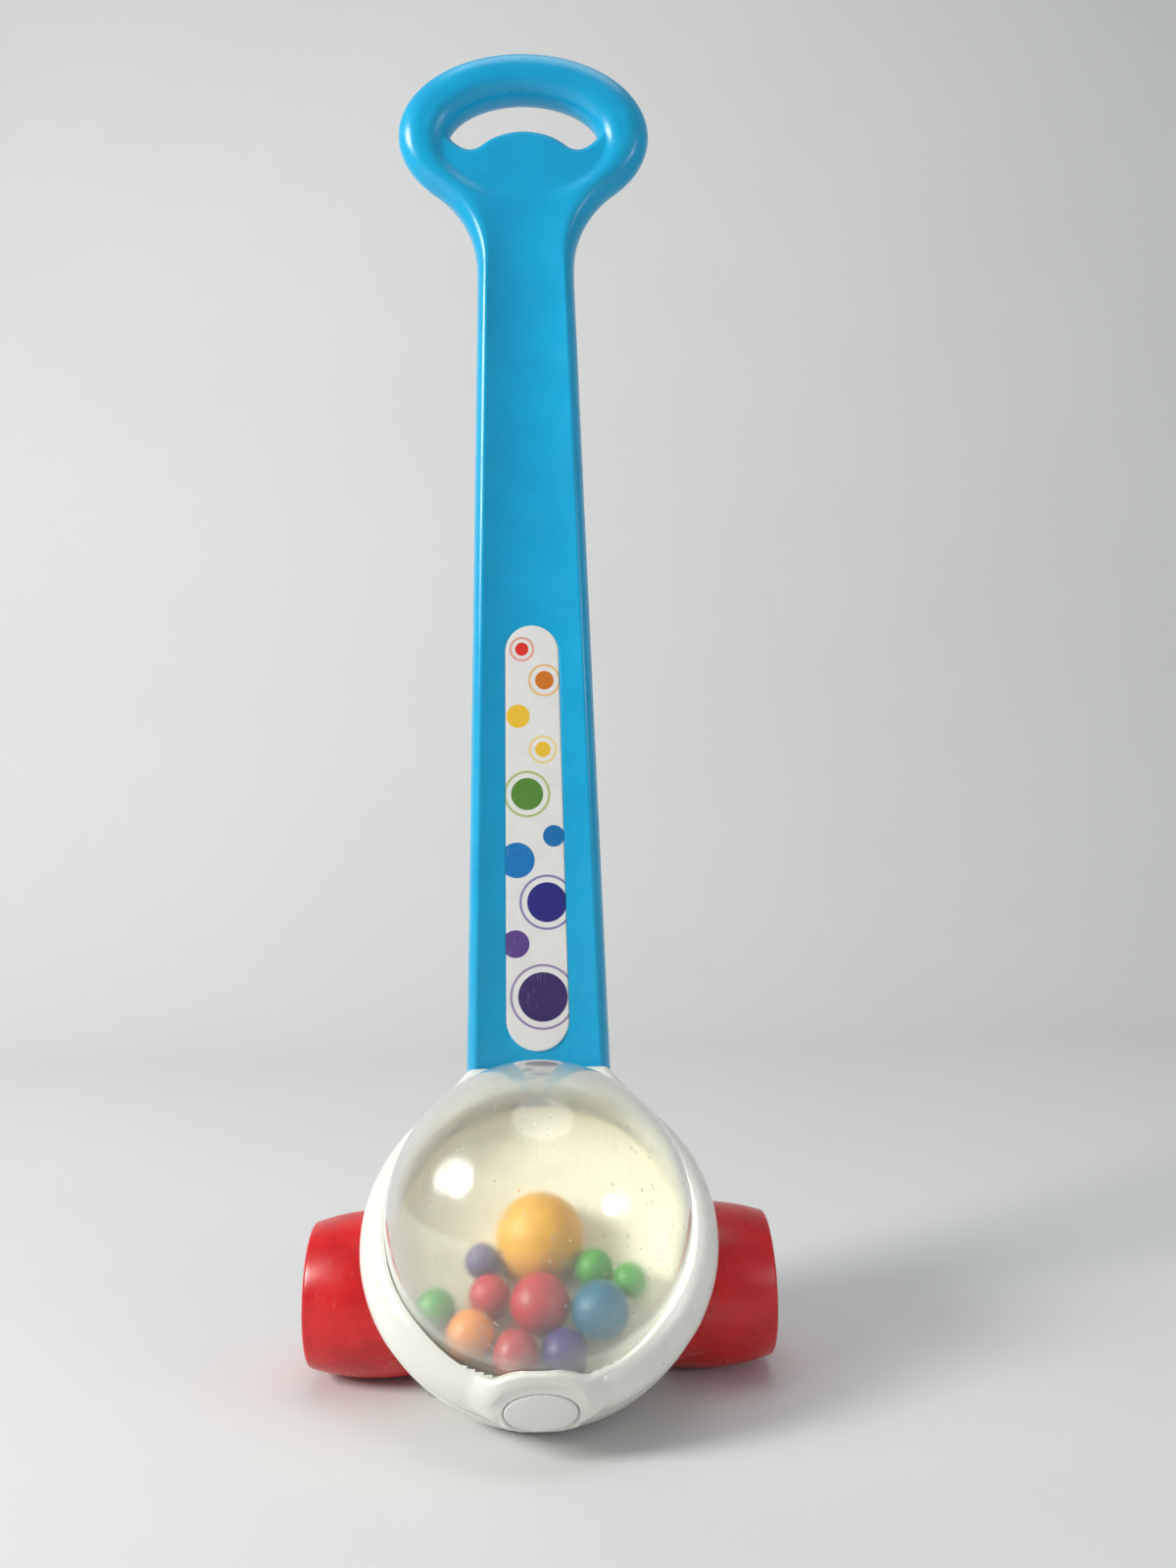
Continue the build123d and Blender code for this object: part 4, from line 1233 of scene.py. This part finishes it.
@dataclass
class Collar:
    """The white ring round the dome: brow over the badge, soft plateau and dipping seam."""

    sweep: float = 74.0
    near: float = 19.0
    near_step: float = 0.19
    far_count: int = 74
    lip_in: float = 62.8
    lip_out: float = 64.4
    lip_height: float = 63.5
    widest: float = 74.0
    widest_height: float = 50.0
    bulge: float = 2.43
    seam_radius: float = 72.6
    seam_height: float = 40.0
    bowl: float = 72.0
    bowl_center: float = 45.0
    step: float = 0.8
    step_soft: float = 1.5
    dome: float = 62.8
    dome_center: float = 64.0
    bore_levels: Span = (55.5, 58.0)
    hump: float = 4.6
    hump_start: float = 54.0
    hump_flat: float = 5.5
    hump_end: float = 15.0
    swing: float = 1.9
    swing_drop: float = 1.25
    swing_start: float = 11.0
    swing_full: float = 18.5
    swing_ease: float = 24.0
    swing_end: float = 50.0
    bore_low: float = 52.9
    seam_level: float = 47.8
    seam_turns: Span = (50.0, 72.0)
    dip: float = 16.4
    dip_flat: float = 14.5
    dip_end: float = 25.5
    band_sink: float = 0.75
    band_low: float = 40.05
    band_tuck: float = 1.4
    side_rows: int = 39
    band_rows: int = 12
    groove_gap: float = 0.3
    groove_widest: float = 2.2
    groove: tuple[Spot, ...] = (
        (0.16, 0.08, 1.0), (0.02, 0.35, 1.0), (-0.06, 1.45, 0.6), (-0.48, 1.55, 0.3),
        (-0.56, 0.95, 0.0), (-0.8, 0.75, 0.0),
    )
    crease_fall: float = 0.3
    facet: float = 0.14
    facet_most: float = 0.55
    facet_start: Span = (13.0, 15.5)
    facet_end: Span = (23.0, 28.0)
    lift_start: Span = (0.6, 2.4)
    pad_tilt: float = 58.0
    pad_center: Spot = (0.0, -69.5, 58.2)
    pad_half: Point = (19.0, 12.5)
    pad_level: float = 1.6
    pad_flat: float = 0.78
    pad_fade: float = 0.72
    pad_fade_less: float = 0.46
    badge_half: Point = (13.8, 7.5)
    badge_drop: float = 4.2
    badge_top: float = 2.1
    badge_gap: float = 0.22
    pocket_depth: float = 1.4
    pocket_wall: float = 0.3
    brow: float = 0.8
    brow_edge: Span = (2.6, 5.6)
    brow_rise: Span = (-3.0, 2.0)
    brow_end: Span = (15.0, 25.0)
    fold: float = 38.0
    lens: tuple[Point, ...] = (
        (0.0, 0.42), (0.2, 0.40), (0.4, 0.34), (0.6, 0.25), (0.78, 0.14), (0.9, 0.04),
        (0.95, -0.02), (0.975, -0.10), (0.992, -0.24), (1.0, -0.45), (1.0, -1.7),
    )
    normal: np.ndarray = field(init=False)
    upward: np.ndarray = field(init=False)
    origin: np.ndarray = field(init=False)

    def __post_init__(self) -> None:
        """Set up the plane of the badge."""
        tilt = math.radians(self.pad_tilt)
        self.normal = np.array((0.0, -math.sin(tilt), math.cos(tilt)))
        self.upward = np.array((0.0, math.cos(tilt), math.sin(tilt)))
        self.origin = np.array(self.pad_center)

    def side(self, height: np.ndarray) -> np.ndarray:
        """Work out the ring's outside below its widest point.

        Args:
            height: heights along the dome's axis.

        Returns:
            Its radius at each height.
        """
        drop = (self.widest_height - height) / (self.widest_height - self.seam_height)
        ring = self.widest - (self.widest - self.seam_radius) * drop ** 2
        bowl = np.sqrt((self.bowl + self.step) ** 2 - (height - self.bowl_center) ** 2)
        low = ramp(
            -height, -self.seam_height - self.step_soft, -self.seam_height + self.step_soft
        )
        return ring * (1 - low) + bowl * low

    def profile(self) -> np.ndarray:
        """Give the ring's section from inside its lip to its widest point.

        Returns:
            Rows of radius, height, share of the lip's hump and share of the lip's swing.
        """
        slope_rows, lip_rounds, lip_steps = 64, [0.5, 0.9], 5
        start = np.array((self.lip_out, self.lip_height))
        end = np.array((self.widest, self.widest_height))
        chord = np.linalg.norm(end - start)
        size = (chord ** 2 / 4 + self.bulge ** 2) / (2 * self.bulge)
        across = np.array((start[1] - end[1], end[0] - start[0])) / chord
        center = (start + end) / 2 - across * (size - self.bulge)
        first, last = (math.atan2(*(p - center)[::-1]) for p in (start, end))
        slope = center + size * np.column_stack(
            [f(np.linspace(first, last, slope_rows)) for f in (np.cos, np.sin)]
        )
        lip = soft_path(
            [(self.lip_in, self.lip_height - 2.0), (self.lip_in, self.lip_height),
             (self.lip_out, self.lip_height), tuple(slope[3])],
            lip_rounds, lip_steps,
        )
        rows = [(self.lip_in, self.bore_low, 0.0, 1.0)]
        rows += [(self.lip_in, z, 0.5, 1.0) for z in self.bore_levels]
        rows += [(r, z, 1.0, 1.0) for r, z in lip[:-1]]
        shares = ramp(slope[:, 1], self.hump_start, self.lip_height)
        rows += [(r, z, share, share) for (r, z), share in zip(slope[3:], shares[3:])]
        return np.array(rows)

    def angles(self) -> np.ndarray:
        """Spread the columns round the ring, close together near the badge.

        Returns:
            Their angles in degrees, from left to right.
        """
        near = np.arange(0.0, self.near, self.near_step)
        far = np.linspace(self.near, self.sweep, self.far_count)
        right = np.concatenate((near, far))
        return np.concatenate((-right[:0:-1], right))

    def on_pad(self, points: np.ndarray) -> tuple[np.ndarray, np.ndarray, np.ndarray]:
        """Measure points against the plane of the badge.

        Args:
            points: rows of x, y and z along the dome's axis.

        Returns:
            Places across, places up the slope and heights over the plane.
        """
        away = points - self.origin
        return away[..., 0], away @ self.upward, away @ self.normal

    def badge_share(self, across: np.ndarray, up: np.ndarray) -> tuple[np.ndarray, np.ndarray]:
        """Measure places on the pad against the badge's oval.

        Args:
            across: places across.
            up: places up the slope.

        Returns:
            Shares of the oval, 1 on its edge, and rough distances outside its edge.
        """
        w = up + self.badge_drop
        share = np.hypot(across / self.badge_half[0], w / self.badge_half[1])
        away = (share - 1) * np.hypot(across, w) / np.maximum(share, TINY)
        return share, away

    def seam(self, across: np.ndarray, turns: np.ndarray) -> np.ndarray:
        """Follow the seam: level round the ring, then down under the badge.

        Args:
            across: how far the columns lie from the middle.
            turns: angles of the columns.

        Returns:
            The seam's height in each column.
        """
        far = ramp(np.abs(np.degrees(turns)), *self.seam_turns)
        level = self.seam_level - (self.seam_level - self.seam_height) * far
        return level - self.dip * (1 - ramp(across, self.dip_flat, self.dip_end))

    def upper(self, turns: np.ndarray) -> tuple[np.ndarray, np.ndarray, np.ndarray]:
        """Work out the ring from its bore over the lip to its widest point.

        Args:
            turns: angles of the columns.

        Returns:
            Radii, heights and shares that may be lifted, as grids.
        """
        radius, height, hump_share, swing_share = (
            self.profile()[:, k][:, None] for k in range(4)
        )
        across = np.abs(radius * np.sin(turns)[None, :])
        hump = self.hump * (1 - ramp(across, self.hump_flat, self.hump_end))
        swing = ramp(across, self.swing_start, self.swing_full)
        swing = swing * (1 - ramp(across, self.swing_ease, self.swing_end))
        z = height + (hump - self.swing_drop * swing) * hump_share
        r = radius + self.swing * swing * swing_share
        hug = np.sqrt(self.dome ** 2 - np.clip(z - self.dome_center, 0, None) ** 2)
        hugging = (z > self.dome_center) & (hump_share > 0)
        r = np.where(hugging, r + (hug - self.dome) * hump_share, r)
        return r, z, ramp(radius - self.lip_in, *self.lift_start) + 0 * z

    def lower(self, turns: np.ndarray) -> tuple[np.ndarray, np.ndarray, np.ndarray]:
        """Work out the ring below its widest point, the seam's groove and the band under it.

        Args:
            turns: angles of the columns.

        Returns:
            Radii, heights and shares that may be lifted, as grids.
        """
        across = np.abs(self.widest * np.sin(turns))
        seam = self.seam(across, turns)
        slope = np.gradient(seam) / np.maximum(np.abs(np.gradient(self.widest * turns)), TINY)
        wide = np.minimum(np.hypot(1.0, slope), self.groove_widest)
        start = seam + self.groove_gap * wide
        rows = [
            (self.widest_height + (start - self.widest_height) * share, 0.0, 1.0)
            for share in np.linspace(0.0, 1.0, self.side_rows + 1)[1:]
        ]
        rows += [(seam + rise * wide, sink, share) for rise, sink, share in self.groove]
        top = rows[-1][0]
        low = np.minimum(self.band_low, top - self.groove_gap)
        rows += [
            (top * (1 - share) + low * share, self.band_sink, 0.0)
            for share in np.linspace(0.0, 1.0, self.band_rows + 1)[1:]
        ]
        rows.append((low, self.band_sink + self.band_tuck, 0.0))
        heights, sinks, free = zip(*rows)
        z = np.array(heights)
        r = self.side(z) - np.array(sinks)[:, None]
        return r, z, np.array(free)[:, None] + 0 * z

    def skin(self) -> np.ndarray:
        """Work out the front surface.

        Returns:
            Grid of points, one row for each row of the section.
        """
        turns = np.radians(self.angles())
        r, z, free = (np.vstack(pair) for pair in zip(self.upper(turns), self.lower(turns)))
        profile = self.profile()
        run = np.gradient(profile[:, 0]), np.gradient(profile[:, 1])
        tilt = np.column_stack((-run[1], run[0]))
        tilt /= np.maximum(np.linalg.norm(tilt, axis=1), 1e-9)[:, None]
        tilt = np.vstack((tilt, np.tile((1.0, 0.0), (len(z) - len(tilt), 1))))
        s, c = np.sin(turns)[None, :], np.cos(turns)[None, :]
        points = np.stack((r * s, -r * c, z), axis=-1)
        out = np.stack((tilt[:, :1] * s, -tilt[:, :1] * c, tilt[:, 1:] + 0 * s), axis=-1)
        x, up, over = self.on_pad(points)
        least_facing, pad_shift = 0.35, 1.0
        facing = np.maximum(out @ self.normal, least_facing)
        down = (up + pad_shift) / self.pad_half[1]
        pad_share = np.hypot(x / self.pad_half[0], down)
        under = np.clip(-down / np.maximum(pad_share, TINY), 0.0, 1.0) ** 2
        fade = (pad_share - self.pad_flat) / (self.pad_fade - self.pad_fade_less * under)
        weight = 1 - ramp(fade, 0.0, 1.0)
        edge = self.badge_share(x, up)[1]
        brow = self.brow * ramp(edge, *self.brow_edge) * ramp(up, *self.brow_rise)
        brow *= 1 - ramp(np.abs(x), *self.brow_end)
        lift = weight * (self.pad_level - over) / facing + brow
        line = -self.badge_drop - (np.abs(x) - self.badge_half[0]) * self.crease_fall
        facet = np.clip((line - up) * self.facet, 0.0, self.facet_most)
        facet *= ramp(np.abs(x), *self.facet_start) * (1 - ramp(np.abs(x), *self.facet_end))
        lift -= facet
        wall = ramp(edge, self.badge_gap, self.badge_gap + self.pocket_wall)
        lift -= self.pocket_depth * (1 - wall)
        return points + out * (lift * free)[..., None]

    def rest(self) -> bmesh.types.BMesh:
        """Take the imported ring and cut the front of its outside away.

        Returns:
            The rest of the ring as an editable mesh, in the frame.
        """
        work = bmesh.new()
        work.from_mesh(frame["nodes"]["upper_collar"].data)
        axle = Vector(AXLE) * MM
        for side in Side:
            a = math.radians(self.sweep) * side.value
            normal = lean(np.array(((math.cos(a), math.sin(a), 0.0), (0.0, 0.0, 0.0))))
            bmesh.ops.bisect_plane(
                work, geom=work.verts[:] + work.edges[:] + work.faces[:], dist=1e-7,
                plane_co=axle, plane_no=Vector(normal[0] - normal[1]).normalized(),
            )
        rows = self.profile()
        outer = rows[rows[:, 2] < 1.0][3:, :2]
        level_count = 20
        skin, lip_skin, bore_wall, pocket_share, pocket_floor = 0.25, 0.2, 0.6, 1.1, -0.3
        levels = np.linspace(self.widest_height, self.seam_height, level_count)[1:]
        outer = np.vstack((outer, np.column_stack((self.side(levels), levels))))
        s, c = math.sin(LEAN), math.cos(LEAN)
        gone = []
        for face in work.faces:
            x, y, z = (face.calc_center_median() / MM) - Vector(AXLE)
            local = np.array((x, c * y + s * z, -s * y + c * z))
            if abs(math.degrees(math.atan2(local[0], -local[1]))) > self.sweep:
                continue
            across, up, over = self.on_pad(local)
            share, _ = self.badge_share(across, up)
            reach = math.hypot(local[0], local[1])
            limit = np.interp(local[2], outer[::-1, 1], outer[::-1, 0])
            pocket = share < pocket_share and over > pocket_floor
            bore = reach < self.lip_in + bore_wall and local[2] > self.bore_low + lip_skin
            lip = local[2] > self.lip_height - lip_skin
            if reach > limit - skin or lip or pocket or bore:
                gone.append(face)
        bmesh.ops.delete(work, geom=gone, context="FACES")
        return work

    def build(self) -> bpy.types.Object:
        """Build the ring.

        Returns:
            The new object.
        """
        grid = self.skin()
        rows, columns = grid.shape[:2]
        front = new_mesh("collar_shell", lean(grid.reshape(-1, 3)), grid_faces(rows, columns))
        work = self.rest()
        work.from_mesh(front.data)
        work.to_mesh(front.data)
        work.free()
        front.data.materials.clear()
        smooth(front.data, self.fold)
        return front

    def build_badge(self) -> bpy.types.Object:
        """Build the bare badge as a shallow lens.

        Returns:
            The new object.
        """
        turn_count = 144
        turns = np.linspace(0, 2 * math.pi, turn_count, endpoint=False)
        middle = self.origin - self.upward * self.badge_drop
        points = []
        for share, level in self.lens:
            for t in turns:
                x = self.badge_half[0] * share * math.cos(t)
                up = self.badge_half[1] * share * math.sin(t)
                points.append(
                    middle + np.array((x, 0, 0)) + self.upward * up
                    + self.normal * (self.badge_top + level)
                )
        made = new_mesh(
            "badge_lens", lean(np.array(points)),
            grid_faces(len(self.lens), len(turns), closed=True),
        )
        weld(made, crease=40.0)
        return made


@dataclass
class Dome:
    """The clear dome with its flange."""

    radius: float = 62.47
    wall: float = 2.0
    center: float = 64.0
    flange: float = 65.0
    flange_low: float = 50.0
    flange_high: float = 52.5
    rounds: tuple[float, ...] = (0.8, 0.5, 0.4, 0.4)
    arc_steps: int = 72
    segments: int = 224

    def build(self) -> bpy.types.Object:
        """Build the dome's shell with its flange.

        Returns:
            The new object.
        """
        inner = self.radius - self.wall
        outer_arc = arc_points((0, self.center), self.radius, 90, 0, self.arc_steps)
        skirt = soft_path(
            [(self.radius, self.center), (self.radius, self.flange_high),
             (self.flange, self.flange_high), (self.flange, self.flange_low),
             (inner, self.flange_low), (inner, self.center)],
            list(self.rounds),
        )
        inner_arc = arc_points((0, self.center), inner, 0, 90, self.arc_steps)
        profile = np.vstack((outer_arc, skirt[1:-1], inner_arc))
        return Lathe(profile, self.segments).build("dome_shell", lean)


@dataclass
class Spring:
    """Steel spring under the popping floor, which shortens as the popper rises."""

    radius: float = 8.7
    wire: float = 0.5
    low: float = 15.55
    high: float = 35.45
    turns: float = 6.0
    closed_turns: float = 0.8
    closed_pitch: float = 1.15
    stroke: float = 10.0
    steps: int = 72
    sides: int = 14

    def build(self) -> bpy.types.Object:
        """Build the coil with a closed turn at each end.

        Returns:
            The new object.
        """
        turn = np.linspace(0.0, self.turns, int(self.turns * self.steps) + 1)
        ends = self.closed_turns * self.closed_pitch
        marks = (0.0, self.closed_turns, self.turns - self.closed_turns, self.turns)
        heights = (self.low, self.low + ends, self.high - ends, self.high)
        height = np.interp(turn, marks, heights)
        width = self.steps // 4
        padded = np.pad(height, width, mode="edge")
        height = np.convolve(padded, np.ones(2 * width + 1) / (2 * width + 1), mode="valid")
        height[0], height[-1] = self.low, self.high
        angle = turn * 2 * math.pi
        around = np.column_stack((np.sin(angle), -np.cos(angle), np.zeros(len(angle))))
        middle = around * self.radius + height[:, None] * np.array((0.0, 0.0, 1.0))
        run = np.gradient(middle, axis=0)
        run /= np.linalg.norm(run, axis=1)[:, None]
        across = np.cross(run, around)
        rings = []
        for side in np.linspace(0.0, 2 * math.pi, self.sides, endpoint=False):
            rings.append(middle + self.wire * (math.cos(side) * around + math.sin(side) * across))
        points = np.stack(rings, axis=1).reshape(-1, 3)
        faces = grid_faces(len(middle), self.sides, closed=True)
        faces += [tuple(range(self.sides)), tuple(range(len(points) - self.sides, len(points)))]
        made = new_mesh("spring_coil", lean(points), faces)
        weld(made)
        return made

    def shorten(self, piece: bpy.types.Object) -> None:
        """Give the coil a mesh of its own; its foot and top are worked out but not used.

        Args:
            piece: the coil.
        """
        ends = np.array(((0.0, 0.0, 0.0), (0.0, 0.0, self.high + self.wire)))
        foot, anchor = lean(ends)
        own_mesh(piece)


@dataclass
class Wheel:
    """One hollow barrel wheel: wall, sunk disc and hub, without the ribs inside."""

    side: Side
    span: float = 200.0
    width: float = 47.0
    radius: float = 34.49
    rim: float = 29.6
    mouth: float = 33.2
    widest: float = 13.0
    edge: float = 4.0
    wall: float = 3.0
    disc_wall: float = 2.6
    sink: float = 2.6
    hub: float = 8.0
    bore: float = 3.0
    mouth_round: float = 0.6
    mouth_gap: float = 0.4
    rim_round: float = 4.0
    rim_start: float = 2.6
    rim_more: float = 0.1
    edge_round: float = 0.8
    hub_round: float = 0.5
    disc_round: float = 1.2
    wall_round: float = 1.6
    arc_steps: int = 40
    segments: int = 192

    def barrel(self, inset: float) -> list[Point]:
        """Give the barrel's curve from its mouth to its rim.

        Args:
            inset: how far inside the barrel's outside the curve runs.

        Returns:
            Its points, as radius and reach along the axle.
        """
        mouth_x = self.span / 2 - self.width
        a = np.array((mouth_x, self.mouth - inset))
        b = np.array((mouth_x + self.widest, self.radius - inset))
        c = np.array((self.span / 2, self.rim - inset))
        rows = np.array([[2 * (b - a)[0], 2 * (b - a)[1]], [2 * (c - b)[0], 2 * (c - b)[1]]])
        center = np.linalg.solve(rows, np.array((b @ b - a @ a, c @ c - b @ b)))
        size = np.linalg.norm(a - center)
        first, last = (math.degrees(math.atan2(*(p - center)[::-1])) for p in (a, c))
        return [(y, x) for x, y in arc_points(tuple(center), size, first, last, self.arc_steps)]

    def place(self, points: np.ndarray) -> np.ndarray:
        """Lay turned points on the axle, on this wheel's side."""
        x, y, z = points.T
        return upright(np.column_stack((z * self.side.value, x, y)))

    def build(self) -> bpy.types.Object:
        """Build the wheel.

        Returns:
            The new object.
        """
        end = self.span / 2
        disc_out = end - self.sink
        disc_in = disc_out - self.disc_wall
        mouth_x = end - self.width
        sunk = self.rim - self.edge
        outer = [p for p in self.barrel(0.0) if p[1] < end - self.rim_start]
        low, high = mouth_x + self.mouth_gap, disc_in - self.disc_round
        inner = [p for p in self.barrel(self.wall) if low < p[1] < high]
        corners = [(self.mouth, mouth_x, self.mouth_round)]
        corners += [(*point, 0.0) for point in outer]
        corners += [
            (self.rim + self.rim_more, end, self.rim_round),
            (sunk, end, self.edge_round), (sunk, disc_out, self.edge_round),
            (self.bore, disc_out, 0.0), (self.bore, mouth_x, 0.0),
            (self.hub, mouth_x, self.hub_round), (self.hub, disc_in, self.disc_round),
            (self.rim - self.wall, disc_in, self.wall_round),
        ]
        corners += [(*point, 0.0) for point in inner[::-1]]
        corners.append((self.mouth - self.wall, mouth_x, self.mouth_round))
        start = (self.mouth - self.wall / 2, mouth_x)
        path = [start, *((radius, reach) for radius, reach, _ in corners), start]
        profile = soft_path(path, [rounding for _, _, rounding in corners])
        lathe = Lathe(profile[:-1], self.segments)
        return lathe.build(f"wheel_shell_{self.side.name.lower()}", self.place)


@dataclass
class Ball:
    """One loose ball with the faint ridge of its mould line."""

    name: str
    center: Spot
    radius: float
    tilt: float
    ridge: float = 0.07
    ridge_width: float = 0.28
    spin: Spot = (0.6, 0.3, 0.74)
    row_count: int = 73
    segments: int = 96

    def build(self) -> bpy.types.Object:
        """Build the ball.

        Returns:
            The new object.
        """
        rows = []
        for turn in np.linspace(-90, 90, self.row_count):
            away = (turn * self.radius * math.pi / 180) / self.ridge_width
            bulge = self.ridge * math.exp(-away ** 2)
            size = self.radius - self.ridge + bulge
            a = math.radians(turn)
            rows.append((max(size * math.cos(a), 0.0), size * math.sin(a)))
        rows[0] = (0.0, rows[0][1])
        rows[-1] = (0.0, rows[-1][1])
        spin = Matrix.Rotation(math.radians(self.tilt), 3, Vector(self.spin).normalized())
        turn_rows = np.array(spin)

        def place(points: np.ndarray) -> np.ndarray:
            """Turn the ball about its middle and move it to its place."""
            return (points @ turn_rows.T + np.array(self.center)) * MM

        lathe = Lathe(np.array(rows), self.segments, closed=False)
        return lathe.build(self.name + "_round", place)


BALLS: dict[str, tuple[Spot, float, str]] = {
    "rose_medium": ((-9.469, -39.441, 36.447), 9.1, "ball_rose"),
    "navy_medium": ((9.131, -39.485, 36.403), 9.1, "ball_navy"),
    "red_large": ((-0.104, -25.354, 49.73), 12.0, "ball_red"),
    "blue_large": ((23.558, -29.14, 47.833), 11.6, "ball_blue"),
    "orange_medium": ((-27.049, -34.446, 42.013), 9.6, "ball_orange"),
    "red_small": ((-20.241, -19.276, 51.019), 8.4, "ball_red"),
    "green_left": ((-41.342, -25.798, 48.838), 8.0, "ball_green"),
    "purple_small": ((-23.803, -6.807, 60.609), 7.2, "ball_purple"),
    "green_middle": ((22.08, -10.888, 57.789), 8.0, "ball_green"),
    "green_small": ((36.318, -15.858, 54.459), 7.0, "ball_green"),
}


# ---------------------------------------------------------------- studio


@dataclass(frozen=True)
class Lamp:
    """One soft lamp: where it stands, the width of its disc in metres, watts, colour and aim."""

    name: str
    place: Spot
    size: float
    power: float
    color: Color = (1.0, 1.0, 1.0)
    aim: Spot = (0.0, 0.0, 0.2)

    def build(self) -> None:
        """Add the lamp to the scene."""
        data = bpy.data.lights.new(self.name, "AREA")
        data.shape = "DISK"
        data.size = self.size
        data.energy = self.power
        data.color = self.color
        made = link(self.name, data)
        made.location = self.place
        made.rotation_mode = "QUATERNION"
        way = Vector(self.aim) - Vector(self.place)
        made.rotation_quaternion = way.to_track_quat("-Z", "Y")


@dataclass
class Studio:
    """Pale sweep, soft lamps and the camera."""

    floor_color: Color = (0.72, 0.73, 0.72)
    sweep_width: float = 5.0
    sweep_front: float = -1.6
    sweep_back: float = 0.75
    sweep_bend: float = 0.45
    sweep_height: float = 3.2
    room_color: Color = (0.93, 0.96, 1.0)
    room_strength: float = 0.34
    lamps: tuple[Lamp, ...] = (
        Lamp("key_lamp", (-1.5, -0.55, 0.98), 0.62, 30.0, (1.0, 0.995, 0.97)),
        Lamp("fill_lamp", (1.35, -0.92, 0.55), 0.4, 4.0, (0.95, 0.93, 1.0)),
        Lamp("top_lamp", (0.1, 0.0, 1.9), 1.2, 6.0, aim=(0.0, 0.0, 0.1)),
    )
    camera_place: Spot = (0.0059, -0.5337, 0.2464)
    camera_right: Spot = (0.9993, -0.0321, -0.0169)
    camera_up: Spot = (0.0163, -0.018, 0.9997)
    lens: float = 29.25
    sensor_width: float = 36.0

    def sweep(self) -> None:
        """Build the floor that bends up into a backdrop."""
        bend_rows, fold, dim = 25, 80.0, 0.985
        path = [(self.sweep_front, 0.0), (self.sweep_back, 0.0)]
        for turn in np.linspace(-90, 0, bend_rows)[1:]:
            a = math.radians(turn)
            path.append(
                (self.sweep_back + self.sweep_bend * math.cos(a),
                 self.sweep_bend + self.sweep_bend * math.sin(a))
            )
        path.append((self.sweep_back + self.sweep_bend, self.sweep_height))
        half = self.sweep_width / 2
        points = np.array([(x, y, z) for y, z in path for x in (-half, half)])
        made = new_mesh("pale_sweep", points, grid_faces(len(path), 2), fold)
        n = Nodes("pale_floor")
        cloud = n.patches(180.0, 3.0, (0.35, 0.7))
        color = n.mix(cloud, self.floor_color, dimmed(self.floor_color, dim))
        n.set(Base_Color=color, Roughness=0.8)
        made.data.materials.append(n.material)

    def build(self) -> None:
        """Build the studio."""
        self.sweep()
        for lamp in self.lamps:
            lamp.build()
        world = bpy.data.worlds.new("soft_room")
        world.use_nodes = True
        bpy.context.scene.world = world
        background = world.node_tree.nodes["Background"]
        background.inputs[0].default_value = (*self.room_color, 1.0)
        background.inputs[1].default_value = self.room_strength
        self.camera()

    def camera(self) -> None:
        """Set the camera where the photo's stood."""
        data = bpy.data.cameras.new("photo_camera")
        data.lens = self.lens
        data.sensor_width = self.sensor_width
        made = link("photo_camera", data)
        right, up = Vector(self.camera_right), Vector(self.camera_up)
        right.normalize()
        up = (up - right * up.dot(right)).normalized()
        turn = Matrix((right, up, right.cross(up))).transposed()
        made.rotation_mode = "QUATERNION"
        made.rotation_quaternion = turn.to_quaternion()
        made.location = self.camera_place
        bpy.context.scene.camera = made


def main() -> None:
    """Build and dress every piece, then the studio."""
    logging.basicConfig(level=logging.INFO, format="%(name)s %(message)s", force=True)
    bpy.context.scene.view_settings.view_transform = "Standard"
    finishes = Finishes()
    finishes.dress_nodes()
    handle = Handle()
    base, rolling = Body.BASE.value, Body.ROLLING.value
    settle(handle.build(), base, "handle_blue", finishes, "handle")
    settle(handle.build_label(), base, "label_print", finishes, "handle_label")
    collar = Collar()
    settle(collar.build(), base, "housing_white", finishes, "upper_collar")
    settle(collar.build_badge(), base, "badge_white", finishes, "oval_badge")
    settle(Dome().build(), base, "dome_clear", finishes, "clear_dome")
    spring = Spring()
    coil = spring.build()
    settle(coil, base, "spring_steel", finishes, "popper_spring")
    spring.shorten(coil)
    for side in Side:
        name = f"wheel_{side.name.lower()}"
        settle(Wheel(side).build(), rolling, "wheel_red", finishes, name)
    first_tilt, next_tilt = 17.0, 41.0
    for number, (name, (center, radius, slot)) in enumerate(BALLS.items()):
        ball = Ball("ball_" + name, center, radius, first_tilt + next_tilt * number)
        settle(ball.build(), "loose_" + name, slot, finishes, "ball_" + name)
    Studio().build()


if __name__ == "__main__":
    main()
